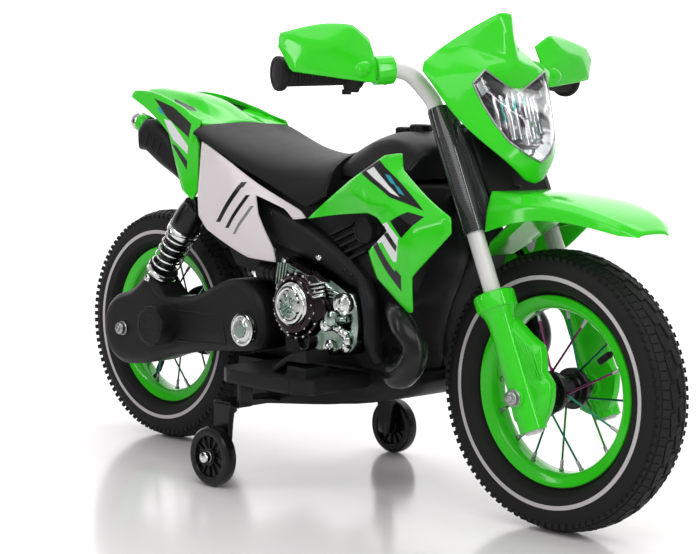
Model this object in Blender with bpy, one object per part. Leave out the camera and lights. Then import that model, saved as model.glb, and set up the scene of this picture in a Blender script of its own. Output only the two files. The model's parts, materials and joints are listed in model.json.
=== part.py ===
"""Kids ride-on motorcycle, off-road style, as separate pieces at their real size.

Metres. +X points forward, +Y to the rider's left, +Z up. The origin is the ground
contact of the rear tyre. "R" pieces lie on the -Y side, "L" pieces on the +Y side.
"""
import math

import bmesh
import bpy
from mathutils import Matrix, Vector
from mathutils.geometry import delaunay_2d_cdt

# General clearances and walls
GAP = 0.0003
RUNNING_GAP = 0.0008
WALL = 0.003
STEPS = 26

# Wheels
TYRE_RADIUS = 0.159
TYRE_HALF_WIDTH = 0.029
RIM_RADIUS = 0.1077
RIM_DEPTH = 0.0157
RIM_INNER_RADIUS = RIM_RADIUS - RIM_DEPTH
RIM_HALF_WIDTH = 0.0167
WHEELBASE = 0.688
SPOKE_RADIUS = 0.0015
SPOKES_PER_SIDE = 8
HUB_RADIUS = 0.0115
HUB_FLANGE_RADIUS = 0.0235
HUB_FLANGE_Y = 0.019
FRONT_HUB_HALF = 0.041
REAR_HUB_HALF = 0.036
AXLE_RADIUS = 0.006
AXLE_NUT_RADIUS = 0.0085
AXLE_NUT_LENGTH = 0.008

# Fork and steering
FORK_RAKE = math.radians(24.0)
FORK_HALF_SPREAD = 0.066
STEM_SETBACK = 0.035
FORK_TUBE_RADIUS = 0.010
FORK_TUBE_WALL = 0.0016
FORK_TUBE_BELOW_AXLE = 0.042
LOWER_COVER_RADIUS = 0.0145
LOWER_COVER_COLLAR_RADIUS = 0.0225
LOWER_COVER_TOP = 0.118
UPPER_COVER_RADIUS = 0.0138
UPPER_COVER_START = 0.190
UPPER_COVER_END = 0.340
CLAMP_LEVEL = 0.212
CLAMP_THICKNESS = 0.012
STEM_RADIUS = 0.008
HEAD_TUBE_RADIUS = 0.0155
HEAD_TUBE_START = 0.232
HEAD_TUBE_END = 0.325
GRIP_RADIUS = 0.0145
GRIP_FLANGE_RADIUS = 0.0190
GRIP_LENGTH = 0.098
BUTTON_RADIUS = 0.0056
LENS_THICKNESS = 0.002

# Body
BODY_HALF_WIDTH = 0.070
PAN_HALF_WIDTH = 0.062
FOOTBOARD_HALF_WIDTH = 0.172
SEAT_HALF_WIDTH = 0.092
CORNER = 0.024
PEDAL_BASE_TOP = 0.1640

BACKBONE_RADIUS = 0.011
BACKBONE_LEVEL = 0.246
BACKBONE_BEND = (0.500, 0.350)
BATTERY_REAR = 0.318
BATTERY_FRONT = 0.450
BATTERY_HALF_WIDTH = 0.040

# Swingarm
PIVOT_X = 0.254
PIVOT_Z = 0.186
PIVOT_BOLT_RADIUS = 0.006
PIVOT_CAP_RADIUS = 0.0205
PIVOT_LUG_RADIUS = 0.016
PIVOT_LUG_HALF = 0.0385
CASING_INNER_Y = 0.042
CASING_OUTER_Y = 0.095
CASING_END_RADIUS = 0.051
SWING_RANGE = math.radians(4.0)
MOTOR_X = 0.092
MOTOR_Z = 0.174
MOTOR_BOSS_RADIUS = 0.027
MOTOR_BOSS_Y = 0.119
MOTOR_RADIUS = 0.0205
WHEEL_GEAR_TEETH = 36
PINION_TEETH = 9
GEAR_MODULE = 0.0024
GEAR_OUTER_Y = 0.060
GEAR_THICKNESS = 0.008

# Shocks
SHOCK_LOWER_X = 0.050
SHOCK_LOWER_Z = 0.231
SHOCK_UPPER_X = 0.128
SHOCK_UPPER_Z = 0.333
SHOCK_Y = 0.071
SPRING_RADIUS = 0.0185
SPRING_WIRE_RADIUS = 0.0013
SPRING_CURLS = 4
POINTS_PER_CURL = 8
SHOCK_CUP_RADIUS = 0.0205
SHOCK_BODY_RADIUS = 0.0135
SHOCK_PIN_RADIUS = 0.0045

# Training wheels
TRAINER_X = 0.274
TRAINER_Y = 0.159
TRAINER_RADIUS = 0.037
TRAINER_HALF_WIDTH = 0.009
TRAINER_BOLT_RADIUS = 0.004
TRAINER_STEPS = 18

# The outlines below were drawn for this tyre radius and wheelbase, and move with them
DRAWN_TYRE_RADIUS = 0.159
DRAWN_WHEELBASE = 0.688
RIDE = TYRE_RADIUS - DRAWN_TYRE_RADIUS
REACH = WHEELBASE - DRAWN_WHEELBASE
STRETCH_FROM = 0.300
STRETCH_TO = 0.505

# Colours, as RGB with roughness and metallic
GREEN = ((0.055, 0.71, 0.024), 0.22, 0.0)
WHITE_PLASTIC = ((0.78, 0.74, 0.74), 0.28, 0.0)
WHITE_PAINT = ((0.80, 0.79, 0.77), 0.25, 0.0)
BLACK_PLASTIC = ((0.012, 0.012, 0.013), 0.42, 0.0)
SEAT_BLACK = ((0.014, 0.014, 0.015), 0.62, 0.0)
RUBBER = ((0.015, 0.015, 0.015), 0.75, 0.0)
CHROME = ((0.78, 0.80, 0.79), 0.08, 1.0)
STEEL = ((0.55, 0.55, 0.56), 0.35, 1.0)
SPOKE_TEAL = ((0.05, 0.22, 0.13), 0.30, 1.0)
NYLON = ((0.62, 0.62, 0.58), 0.45, 0.0)
CLEAR = ((0.85, 0.88, 0.90), 0.05, 0.0)
BATTERY_GREY = ((0.09, 0.09, 0.10), 0.5, 0.0)

FRONT_AXLE = Vector((WHEELBASE, 0.0, TYRE_RADIUS))
REAR_AXLE = Vector((0.0, 0.0, TYRE_RADIUS))
FORK_UP = Vector((-math.sin(FORK_RAKE), 0.0, math.cos(FORK_RAKE)))
FORK_FORWARD = Vector((math.cos(FORK_RAKE), 0.0, math.sin(FORK_RAKE)))
PIVOT = Vector((PIVOT_X, 0.0, PIVOT_Z + RIDE))
SIDE = Vector((0.0, 1.0, 0.0))


def side_point(x, z, y):
    """A point of a body outline in side view; the middle of the body takes up a change of wheelbase."""
    share = min(max((x - STRETCH_FROM) / (STRETCH_TO - STRETCH_FROM), 0.0), 1.0)
    return Vector((x + REACH * share, y, z + RIDE))


def front_side_point(x, z, y):
    """A side-view point that moves with the front axle."""
    return Vector((x + REACH, y, z + RIDE))


def front_view_point(y, z, x):
    """A front-view point that moves with the front axle."""
    return Vector((x + REACH, y, z + RIDE))


def fork_point(forward, along, y):
    """A point measured from the front axle in the plane of the raked fork."""
    return FRONT_AXLE + FORK_FORWARD * forward + FORK_UP * along + SIDE * y


# Making objects

def make_object(name, mesh_data, look, smooth_degrees=32.0):
    """Turn a bmesh into a named object with its own material."""
    colour, roughness, metallic = look
    bmesh.ops.recalc_face_normals(mesh_data, faces=mesh_data.faces)
    mesh = bpy.data.meshes.new(name)
    mesh_data.to_mesh(mesh)
    mesh_data.free()
    mesh.shade_smooth()
    mesh.set_sharp_from_angle(angle=math.radians(smooth_degrees))
    thing = bpy.data.objects.new(name, mesh)
    bpy.context.collection.objects.link(thing)
    material = bpy.data.materials.new(name)
    material.use_nodes = True
    shader = material.node_tree.nodes["Principled BSDF"]
    shader.inputs["Base Color"].default_value = (*colour, 1.0)
    shader.inputs["Roughness"].default_value = roughness
    shader.inputs["Metallic"].default_value = metallic
    material.diffuse_color = (*colour, 1.0)
    mesh.materials.append(material)
    return thing


def set_origin(thing, point):
    """Put an object's origin on a point without moving its mesh in the world."""
    thing.data.transform(Matrix.Translation(-Vector(point)))
    thing.location = point


def bake(thing):
    """Keep the evaluated shape as the object's own mesh."""
    graph = bpy.context.evaluated_depsgraph_get()
    shape = bpy.data.meshes.new_from_object(thing.evaluated_get(graph))
    thing.modifiers.clear()
    thing.data = shape


def combine(thing, other, operation):
    """Join or cut with another object, which is used up."""
    step = thing.modifiers.new(operation.lower(), "BOOLEAN")
    step.operation = operation
    step.solver = "EXACT"
    step.object = other
    bake(thing)
    bpy.data.objects.remove(other)
    tidy(thing)


def tidy(thing):
    """Merge coincident corners and leave only flat triangles after a Boolean."""
    mesh = bmesh.new()
    mesh.from_mesh(thing.data)
    bmesh.ops.remove_doubles(mesh, verts=mesh.verts, dist=2e-6)
    bmesh.ops.dissolve_degenerate(mesh, edges=mesh.edges, dist=2e-6)
    bmesh.ops.dissolve_limit(mesh, angle_limit=math.radians(0.1), verts=mesh.verts, edges=mesh.edges)
    bmesh.ops.triangulate(mesh, faces=[f for f in mesh.faces if len(f.verts) > 3])
    mesh.to_mesh(thing.data)
    mesh.free()


def join(thing, *others):
    for other in others:
        combine(thing, other, "UNION")


def cut(thing, *others):
    for other in others:
        combine(thing, other, "DIFFERENCE")


def mirrored(thing, name):
    """The same piece on the other side of the bike."""
    copy = bmesh.new()
    copy.from_mesh(thing.data)
    bmesh.ops.transform(copy, matrix=thing.matrix_basis, verts=copy.verts)
    bmesh.ops.transform(copy, matrix=Matrix.Diagonal((1, -1, 1, 1)), verts=copy.verts)
    look = thing.data.materials[0].node_tree.nodes["Principled BSDF"].inputs
    values = (tuple(look["Base Color"].default_value)[:3],
              look["Roughness"].default_value, look["Metallic"].default_value)
    return make_object(name, copy, values)


# Shapes

def inside(point, loop):
    """True where a 2-D point lies inside a closed loop."""
    found = False
    for (ax, ay), (bx, by) in zip(loop, loop[1:] + loop[:1]):
        if (ay > point[1]) != (by > point[1]):
            if point[0] < (bx - ax) * (point[1] - ay) / (by - ay) + ax:
                found = not found
    return found


def triangulate(outline, ridge, hole):
    """Triangles over an outline with inner points and one hole, as 2-D points with heights."""
    points = outline + hole + ridge
    flat = [Vector(p[:2]) for p in points]
    edges = [(i, (i + 1) % len(outline)) for i in range(len(outline))]
    first = len(outline)
    edges += [(first + i, first + (i + 1) % len(hole)) for i in range(len(hole))]
    made = delaunay_2d_cdt(flat, edges, [], 0, 1e-7)
    heights = [points[ids[0]][2] for ids in made[3]]
    corners = [(v[0], v[1], h) for v, h in zip(made[0], heights)]
    outer = [p[:2] for p in outline]
    inner = [p[:2] for p in hole]
    kept = []
    for face in made[2]:
        middle = (sum(corners[i][0] for i in face) / 3, sum(corners[i][1] for i in face) / 3)
        if inside(middle, outer) and not (hole and inside(middle, inner)):
            kept.append(tuple(face))
    return corners, kept


def relief(name, place, look, outline, ridge=(), wall=None, back=None, hole=()):
    """A moulded panel: a shaped front over an outline, with a wall or a flat back.

    Each point is (a, b, height). wall is added to the height to give the back.
    """
    corners, faces = triangulate(list(outline), list(ridge), list(hole))
    panel = bmesh.new()
    front = [panel.verts.new(place(a, b, h)) for a, b, h in corners]
    rear = [panel.verts.new(place(a, b, back if wall is None else h + wall)) for a, b, h in corners]
    sides = {}
    for face in faces:
        panel.faces.new([front[i] for i in face])
        panel.faces.new([rear[i] for i in reversed(face)])
        for i, j in zip(face, face[1:] + face[:1]):
            key = (min(i, j), max(i, j))
            sides.setdefault(key, []).append((i, j))
    for uses in sides.values():
        if len(uses) == 1:
            i, j = uses[0]
            panel.faces.new((front[j], front[i], rear[i], rear[j]))
    used = [v for v in panel.verts if v.link_faces]
    for vert in [v for v in panel.verts if v not in set(used)]:
        panel.verts.remove(vert)
    return make_object(name, panel, look)


def prism(name, place, look, outline, near, far):
    """A straight-sided block over a 2-D outline."""
    return relief(name, place, look, [(a, b, near) for a, b in outline], back=far)


def frame_of(axis):
    """Two unit vectors square to an axis. Along Y they are straight down and backwards."""
    axis = Vector(axis).normalized()
    first = Vector((0.0, 0.0, -1.0))
    if abs(axis.z) > 0.9:
        first = Vector((1.0, 0.0, 0.0))
    first = (first - axis * first.dot(axis)).normalized()
    return axis, first, axis.cross(first)


def turned(name, look, profile, centre, axis=(0, 1, 0), steps=STEPS, ring=False):
    """A turned piece. The profile is (radius, distance along the axis).

    A ring's profile is closed on itself. Otherwise it starts and ends on the axis.
    The facets are placed so that one of them faces straight down on a Y axis.
    """
    along, first, second = frame_of(axis)
    centre = Vector(centre)
    body = bmesh.new()
    rows = []
    for radius, distance in profile:
        base = centre + along * distance
        if radius < 1e-7:
            rows.append([body.verts.new(base)] * steps)
            continue
        row = []
        for k in range(steps):
            angle = 2 * math.pi * (k + 0.5) / steps
            row.append(body.verts.new(base + (first * math.cos(angle) + second * math.sin(angle)) * radius))
        rows.append(row)
    pairs = list(zip(rows, rows[1:]))
    if ring:
        pairs.append((rows[-1], rows[0]))
    for low, high in pairs:
        for k in range(steps):
            n = (k + 1) % steps
            corners = [low[k], low[n], high[n], high[k]]
            different = []
            for corner in corners:
                if corner not in different:
                    different.append(corner)
            if len(different) > 2:
                body.faces.new(different)
    return make_object(name, body, look)


def rod(name, look, start, end, radius, steps=12):
    """A plain round bar between two points."""
    start, end = Vector(start), Vector(end)
    length = (end - start).length
    profile = [(0, 0), (radius, 0), (radius, length), (0, length)]
    return turned(name, look, profile, start, end - start, steps)


def pipe(name, look, start, end, radius, bore, steps=16):
    """A round tube, open at both ends."""
    start, end = Vector(start), Vector(end)
    length = (end - start).length
    profile = [(radius, 0), (radius, length), (bore, length), (bore, 0)]
    return turned(name, look, profile, start, end - start, steps, ring=True)


def block(name, look, low, high):
    """A box between two corners."""
    box = bmesh.new()
    bmesh.ops.create_cube(box, size=1.0)
    low, high = Vector(low), Vector(high)
    size = high - low
    matrix = Matrix.Translation((low + high) / 2) @ Matrix.Diagonal((*size, 1.0))
    bmesh.ops.transform(box, matrix=matrix, verts=box.verts)
    return make_object(name, box, look)


def loft(name, look, rings, strip=False):
    """A skin through closed rings of equal length, with both ends filled.

    A strip's ring runs out along one face and back along the other.
    """
    skin = bmesh.new()
    rows = [[skin.verts.new(p) for p in ring] for ring in rings]
    count = len(rows[0])
    for low, high in zip(rows, rows[1:]):
        for k in range(count):
            n = (k + 1) % count
            skin.faces.new((low[k], low[n], high[n], high[k]))
    for row in (rows[0], rows[-1]):
        if strip:
            for k in range(count // 2 - 1):
                skin.faces.new((row[k], row[k + 1], row[count - 2 - k], row[count - 1 - k]))
        else:
            skin.faces.new(row)
    bmesh.ops.triangulate(skin, faces=[f for f in skin.faces if len(f.verts) > 4])
    return make_object(name, skin, look)


def smooth_path(points, spacing, before=None):
    """Points along a smooth curve through the given ones."""
    points = [Vector(p) for p in points]
    lead = 2 * points[0] - points[1] if before is None else Vector(before)
    ends = [lead] + points + [2 * points[-1] - points[-2]]
    path = [points[0]]
    for a, b, c, d in zip(ends, ends[1:], ends[2:], ends[3:]):
        count = max(1, round((c - b).length / spacing))
        for k in range(1, count + 1):
            t = k / count
            path.append(0.5 * (2 * b + (c - a) * t + (2 * a - 5 * b + 4 * c - d) * t * t
                               + (3 * b - a - 3 * c + d) * t ** 3))
    return path


def swept(name, look, path, radius, sides=10):
    """A round bar along a path, with closed ends and no twist."""
    bar = bmesh.new()
    rows = []
    previous = None
    for index, point in enumerate(path):
        before = path[max(index - 1, 0)]
        after = path[min(index + 1, len(path) - 1)]
        forward = (after - before).normalized()
        if previous is None:
            _, first, _ = frame_of(forward)
        else:
            first = (previous - forward * previous.dot(forward)).normalized()
        previous = first
        second = forward.cross(first)
        row = []
        for k in range(sides):
            angle = 2 * math.pi * (k + 0.5) / sides
            row.append(bar.verts.new(point + (first * math.cos(angle) + second * math.sin(angle)) * radius))
        rows.append(row)
    for low, high in zip(rows, rows[1:]):
        for k in range(sides):
            n = (k + 1) % sides
            bar.faces.new((low[k], low[n], high[n], high[k]))
    bar.faces.new(list(reversed(rows[0])))
    bar.faces.new(rows[-1])
    return make_object(name, bar, look)


def mirror_outline(half):
    """A full outline from its -Y half, drawn from top to bottom as (y, z, height)."""
    other = [(-y, z, h) for y, z, h in reversed(half) if abs(y) > 1e-6]
    return list(half) + other


# Wheels

def tyre(name, axle):
    """A block-tread tyre: its carcass is open towards the rim."""
    crown = TYRE_RADIUS / math.cos(math.pi / STEPS)
    bead = RIM_RADIUS - 0.0105
    lip = RIM_HALF_WIDTH - WALL - GAP
    half = [(bead, lip - 0.005), (bead, lip), (RIM_RADIUS + 0.002, lip), (RIM_RADIUS + 0.018, TYRE_HALF_WIDTH),
            (crown - 0.011, TYRE_HALF_WIDTH - 0.002), (crown, TYRE_HALF_WIDTH - 0.013)]
    inner = [(crown - 0.011, TYRE_HALF_WIDTH - 0.012)]
    profile = half + [(r, -y) for r, y in reversed(half)]
    profile += [(r, -y) for r, y in reversed(inner)] + inner
    return turned(name, RUBBER, profile, axle, ring=True)


def rim(name, axle):
    """A pressed rim: a channel with two flanges."""
    floor = RIM_INNER_RADIUS + WALL
    half = [(RIM_INNER_RADIUS, RIM_HALF_WIDTH - 0.003), (RIM_RADIUS, RIM_HALF_WIDTH),
            (RIM_RADIUS, RIM_HALF_WIDTH - WALL), (floor, RIM_HALF_WIDTH - WALL)]
    profile = half + [(r, -y) for r, y in reversed(half)]
    return turned(name, GREEN, profile, axle, ring=True)


def spoke_ends(side, number):
    """Hub and rim angles of one laced spoke."""
    step = 2 * math.pi / SPOKES_PER_SIDE
    at_rim = step * (number + (0.0 if side > 0 else 0.5))
    lean = 0.42 if number % 2 else -0.42
    return at_rim + lean, at_rim


def hub_with_spokes(name, axle, half_width):
    """The hub barrel, its two flanges and sixteen laced spokes."""
    rise = 0.003
    half = [(HUB_RADIUS, half_width), (HUB_RADIUS, HUB_FLANGE_Y + rise), (HUB_FLANGE_RADIUS, HUB_FLANGE_Y + rise),
            (HUB_FLANGE_RADIUS, HUB_FLANGE_Y - rise), (HUB_RADIUS + 0.004, HUB_FLANGE_Y - rise)]
    bore = AXLE_RADIUS + RUNNING_GAP
    profile = [(bore, half_width)] + half + [(r, -y) for r, y in reversed(half)] + [(bore, -half_width)]
    hub = turned(name, BLACK_PLASTIC, profile, axle, steps=12, ring=True)
    spokes = bmesh.new()
    reach = RIM_INNER_RADIUS * math.cos(math.pi / STEPS) - GAP
    for side in (-1, 1):
        for number in range(SPOKES_PER_SIDE):
            near, far = spoke_ends(side, number)
            start = axle + Vector((math.cos(near), 0, math.sin(near))) * (HUB_FLANGE_RADIUS - 0.004)
            end = axle + Vector((math.cos(far), 0, math.sin(far))) * reach
            start.y += side * HUB_FLANGE_Y
            end.y += side * 0.004
            wire = rod("spoke", CHROME, start, end, SPOKE_RADIUS, steps=4)
            spokes.from_mesh(wire.data)
            bpy.data.objects.remove(wire)
    wires = make_object("spokes", spokes, CHROME)
    step = hub.modifiers.new("join", "BOOLEAN")
    step.operation = "UNION"
    step.solver = "EXACT"
    step.use_self = True
    step.object = wires
    bake(hub)
    bpy.data.objects.remove(wires)
    return hub


def axle_bolt(name, axle, inner_half, nut_from):
    """A through bolt with a nut at each end."""
    nut_to = nut_from + AXLE_NUT_LENGTH
    half = [(0, nut_to), (AXLE_NUT_RADIUS * 0.7, nut_to), (AXLE_NUT_RADIUS, nut_to - 0.002),
            (AXLE_NUT_RADIUS, nut_from), (AXLE_RADIUS, nut_from)]
    profile = half + [(r, -y) for r, y in reversed(half)]
    return turned(name, STEEL, profile, axle, steps=12)


def gear_outline(teeth, centre, bore_phase):
    """Tooth outline with straight flanks, thin enough to run in mesh."""
    pitch = GEAR_MODULE * teeth / 2
    outer = pitch + 0.75 * GEAR_MODULE
    root = pitch - 1.2 * GEAR_MODULE
    step = 2 * math.pi / teeth
    points = []
    for k in range(teeth):
        middle = step * k + bore_phase
        for radius, share in ((root, -0.5), (outer, -0.05), (outer, 0.05)):
            angle = middle + share * step
            points.append((centre.x + radius * math.cos(angle), centre.z + radius * math.sin(angle)))
    return points


# Swingarm, drive and shocks

GEAR_DISTANCE = GEAR_MODULE * (WHEEL_GEAR_TEETH + PINION_TEETH) / 2
PINION_ANGLE = math.atan2(MOTOR_Z - DRAWN_TYRE_RADIUS, MOTOR_X)
PINION_CENTRE = REAR_AXLE + Vector((math.cos(PINION_ANGLE), 0, math.sin(PINION_ANGLE))) * GEAR_DISTANCE
MOTOR_CENTRE = Vector((MOTOR_X, 0.0, MOTOR_Z + RIDE))


def at_side(x, y, z):
    """Side-view placement in world coordinates, with no shift."""
    return Vector((x, z, y))


def wheel_gear():
    outline = gear_outline(WHEEL_GEAR_TEETH, REAR_AXLE, PINION_ANGLE)
    inner_y = GEAR_OUTER_Y - GEAR_THICKNESS
    gear = prism("wheel_gear", at_side, NYLON, outline, -GEAR_OUTER_Y, -inner_y)
    boss = rod("boss", NYLON, (0, -inner_y - 0.001, TYRE_RADIUS), (0, -REAR_HUB_HALF - GAP, TYRE_RADIUS), 0.0155)
    join(gear, boss)
    cut(gear, rod("bore", NYLON, (0, -0.07, TYRE_RADIUS), (0, -0.03, TYRE_RADIUS), AXLE_RADIUS + RUNNING_GAP))
    return gear


def drive_pinion():
    toward_wheel = PINION_ANGLE + math.pi
    half_tooth = math.pi / PINION_TEETH
    outline = gear_outline(PINION_TEETH, PINION_CENTRE, toward_wheel + half_tooth)
    inner_y = GEAR_OUTER_Y - GEAR_THICKNESS
    gear = prism("drive_pinion", at_side, STEEL, outline, -GEAR_OUTER_Y, -inner_y)
    shaft = rod("shaft", STEEL, PINION_CENTRE - SIDE * 0.050, PINION_CENTRE - SIDE * 0.069, 0.004, steps=12)
    join(gear, shaft)
    set_origin(gear, PINION_CENTRE)
    return gear


def oval(first, first_radius, second, second_radius, steps=8):
    """The outline round two circles, in side view."""
    way = math.atan2(second.z - first.z, second.x - first.x)
    points = []
    for centre, radius, start in ((second, second_radius, -90), (first, first_radius, 90)):
        for k in range(steps + 1):
            angle = way + math.radians(start + 180 * k / steps)
            points.append((centre.x + radius * math.cos(angle), centre.z + radius * math.sin(angle)))
    return points


def drive_motor():
    """The motor can in the boss, with the reduction box that carries the pinion."""
    box_from = GEAR_OUTER_Y + 0.0025
    box_to = box_from + 0.0165
    end = MOTOR_BOSS_Y - WALL - GAP
    motor = rod("drive_motor", STEEL, MOTOR_CENTRE - SIDE * (box_to - 0.001), MOTOR_CENTRE - SIDE * end,
                MOTOR_RADIUS)
    outline = oval(PINION_CENTRE, 0.013, MOTOR_CENTRE, MOTOR_RADIUS, 5)
    join(motor, prism("box", at_side, STEEL, outline, -box_to, -box_from))
    cut(motor, rod("bore", STEEL, PINION_CENTRE - SIDE * 0.05, PINION_CENTRE - SIDE * 0.0695, 0.0047))
    return motor


def casing_outline():
    """The swingarm casing in side view, from the top of its round rear end."""
    rear = []
    for k in range(7):
        angle = math.radians(80 + 200 * k / 6)
        rear.append((CASING_END_RADIUS * math.cos(angle), DRAWN_TYRE_RADIUS + CASING_END_RADIUS * math.sin(angle)))
    lower = [(0.062, 0.120), (0.083, 0.130), (0.128, 0.140), (0.193, 0.152), (0.270, 0.157)]
    front = [(0.287, 0.172), (0.287, 0.205), (0.272, 0.234), (0.246, 0.248)]
    upper = [(0.220, 0.248), (0.189, 0.238), (0.159, 0.220), (0.126, 0.214), (0.085, 0.210)]
    lug = [(0.066, 0.226), (0.056, 0.2365), (0.043, 0.2375), (0.032, 0.228)]
    return rear + lower + front + upper + lug


def inset(outline, distance):
    """The outline moved inwards by a distance, corner by corner."""
    area = sum(a[0] * b[1] - b[0] * a[1] for a, b in zip(outline, outline[1:] + outline[:1]))
    turn = 1.0 if area > 0 else -1.0
    moved = []
    count = len(outline)
    for k in range(count):
        before, here, after = (Vector(outline[(k + d) % count][:2]) for d in (-1, 0, 1))
        first = (here - before).normalized()
        second = (after - here).normalized()
        normal = (Vector((-first.y, first.x)) + Vector((-second.y, second.x))) * turn
        if normal.length < 0.3:
            normal = Vector((-first.y, first.x)) * turn
        normal.normalize()
        spread = max(0.45, normal.dot(Vector((-first.y, first.x)) * turn))
        point = here + normal * distance / spread
        moved.append((point.x, point.y))
    return moved


def swingarm_casing(name, side_has_motor):
    """A deep tray, open towards the wheel, that is the arm itself and covers the drive."""
    outline = casing_outline()
    rim_y = -(CASING_OUTER_Y - 0.010)
    face_y = -(CASING_OUTER_Y - 0.003)
    raised = [(a, b, face_y) for a, b in inset(outline, 0.008)]
    shell = relief(name, side_point, BLACK_PLASTIC, [(a, b, rim_y) for a, b in outline], raised,
                   back=-(CASING_INNER_Y + 0.0035))
    pocket = prism("pocket", side_point, BLACK_PLASTIC, inset(outline, WALL), face_y + WALL + 0.007,
                   -CASING_INNER_Y + 0.005)
    cut(shell, pocket)
    post = rod("post", BLACK_PLASTIC, PIVOT - SIDE * (CASING_OUTER_Y - 0.005), PIVOT - SIDE * PIVOT_LUG_HALF
               - SIDE * GAP, 0.0135)
    wheel_post = rod("post", BLACK_PLASTIC, REAR_AXLE - SIDE * (CASING_OUTER_Y - 0.005),
                     REAR_AXLE - SIDE * (GEAR_OUTER_Y + 0.001), 0.0125)
    join(shell, post, wheel_post)
    if side_has_motor:
        boss = rod("boss", BLACK_PLASTIC, MOTOR_CENTRE - SIDE * 0.0815, MOTOR_CENTRE - SIDE * MOTOR_BOSS_Y,
                   MOTOR_BOSS_RADIUS, steps=16)
        join(shell, boss)
        cut(shell, rod("well", BLACK_PLASTIC, MOTOR_CENTRE - SIDE * 0.050,
                       MOTOR_CENTRE - SIDE * (MOTOR_BOSS_Y - WALL), MOTOR_RADIUS + RUNNING_GAP))
    cut(shell, rod("hole", BLACK_PLASTIC, PIVOT - SIDE * 0.03, PIVOT - SIDE * 0.13,
                   PIVOT_BOLT_RADIUS + RUNNING_GAP))
    cut(shell, rod("hole", BLACK_PLASTIC, REAR_AXLE - SIDE * 0.03, REAR_AXLE - SIDE * 0.13, AXLE_RADIUS + GAP))
    pin_centre = Vector((SHOCK_LOWER_X, 0, SHOCK_LOWER_Z + RIDE))
    cut(shell, rod("room", BLACK_PLASTIC, pin_centre - SIDE * (SHOCK_Y - 0.020),
                   pin_centre - SIDE * (SHOCK_Y + 0.0135), 0.0165))
    pin = rod("pin", BLACK_PLASTIC, pin_centre - SIDE * (CASING_OUTER_Y - 0.009), pin_centre - SIDE
              * (SHOCK_Y - 0.009), SHOCK_PIN_RADIUS, steps=12)
    join(shell, pin)
    return shell


def gearcase_cover():
    """The inner plate that closes the gear case towards the wheel."""
    outline = [(a, b) for a, b in inset(casing_outline(), 0.0006) if b < 0.2135 or a > 0.085]
    plate = prism("gearcase_cover", side_point, BLACK_PLASTIC, outline, -(CASING_INNER_Y + 0.0035 - GAP),
                  -CASING_INNER_Y)
    cut(plate, rod("hole", BLACK_PLASTIC, REAR_AXLE, REAR_AXLE - SIDE * 0.06, 0.0175, steps=14))
    cut(plate, rod("hole", BLACK_PLASTIC, PIVOT, PIVOT - SIDE * 0.06, 0.0135 + RUNNING_GAP, steps=14))
    return plate


def pivot_bolt():
    """The swingarm pivot with its two domed chrome caps."""
    cap = CASING_OUTER_Y - 0.003 + GAP
    dome = [(0, cap + 0.010), (0.013, cap + 0.010), (PIVOT_CAP_RADIUS, cap + 0.003),
            (PIVOT_CAP_RADIUS, cap), (PIVOT_BOLT_RADIUS, cap)]
    profile = dome + [(r, -y) for r, y in reversed(dome)]
    return turned("pivot_bolt", CHROME, profile, PIVOT, steps=14)


SHOCK_LOWER = Vector((SHOCK_LOWER_X, -SHOCK_Y, SHOCK_LOWER_Z + RIDE))
SHOCK_UPPER = Vector((SHOCK_UPPER_X, -SHOCK_Y, SHOCK_UPPER_Z + RIDE))
SHOCK_AXIS = (SHOCK_UPPER - SHOCK_LOWER).normalized()
SHOCK_LENGTH = (SHOCK_UPPER - SHOCK_LOWER).length


def along_shock(distance):
    """A point on the shock's axis, measured up from the lower eye."""
    return SHOCK_LOWER + SHOCK_AXIS * distance


LOWER_CUP = 0.018
UPPER_CUP = 0.080


def shock_lower(name):
    """Lower eye, cup and the sliding rod."""
    lower = turned(name, CHROME, [(0, 0), (0.011, 0), (0.0125, LOWER_CUP - 0.008), (SHOCK_CUP_RADIUS, LOWER_CUP - 0.007),
                                  (SHOCK_CUP_RADIUS, LOWER_CUP), (0.0095, LOWER_CUP), (0.0095, 0.060), (0, 0.060)],
                   SHOCK_LOWER, SHOCK_AXIS, steps=12)
    eye = rod("eye", CHROME, SHOCK_LOWER - SIDE * 0.010, SHOCK_LOWER + SIDE * 0.010, 0.011, 12)
    join(lower, eye)
    cut(lower, rod("bore", CHROME, SHOCK_LOWER - SIDE * 0.02, SHOCK_LOWER + SIDE * 0.02,
                   SHOCK_PIN_RADIUS + 0.0010, 12))
    return lower


def shock_upper(name):
    """Upper eye, boot, cup and the sleeve that the rod slides in."""
    sleeve_end = LOWER_CUP + 0.0165
    upper = turned(name, BLACK_PLASTIC,
                   [(0.0105, sleeve_end), (SHOCK_BODY_RADIUS, sleeve_end), (SHOCK_BODY_RADIUS, UPPER_CUP),
                    (SHOCK_CUP_RADIUS, UPPER_CUP), (SHOCK_CUP_RADIUS, UPPER_CUP + 0.009),
                    (SHOCK_CUP_RADIUS - 0.002, UPPER_CUP + 0.012), (0.0175, SHOCK_LENGTH - 0.012),
                    (0.012, SHOCK_LENGTH - 0.002), (0.0105, SHOCK_LENGTH - 0.002)],
                   SHOCK_LOWER, SHOCK_AXIS, steps=12, ring=True)
    eye = rod("eye", BLACK_PLASTIC, SHOCK_UPPER - SIDE * 0.011, SHOCK_UPPER + SIDE * 0.011, 0.0125, 12)
    join(upper, eye)
    cut(upper, rod("bore", BLACK_PLASTIC, SHOCK_UPPER - SIDE * 0.02, SHOCK_UPPER + SIDE * 0.02,
                   SHOCK_PIN_RADIUS + RUNNING_GAP, 12))
    return upper


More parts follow.
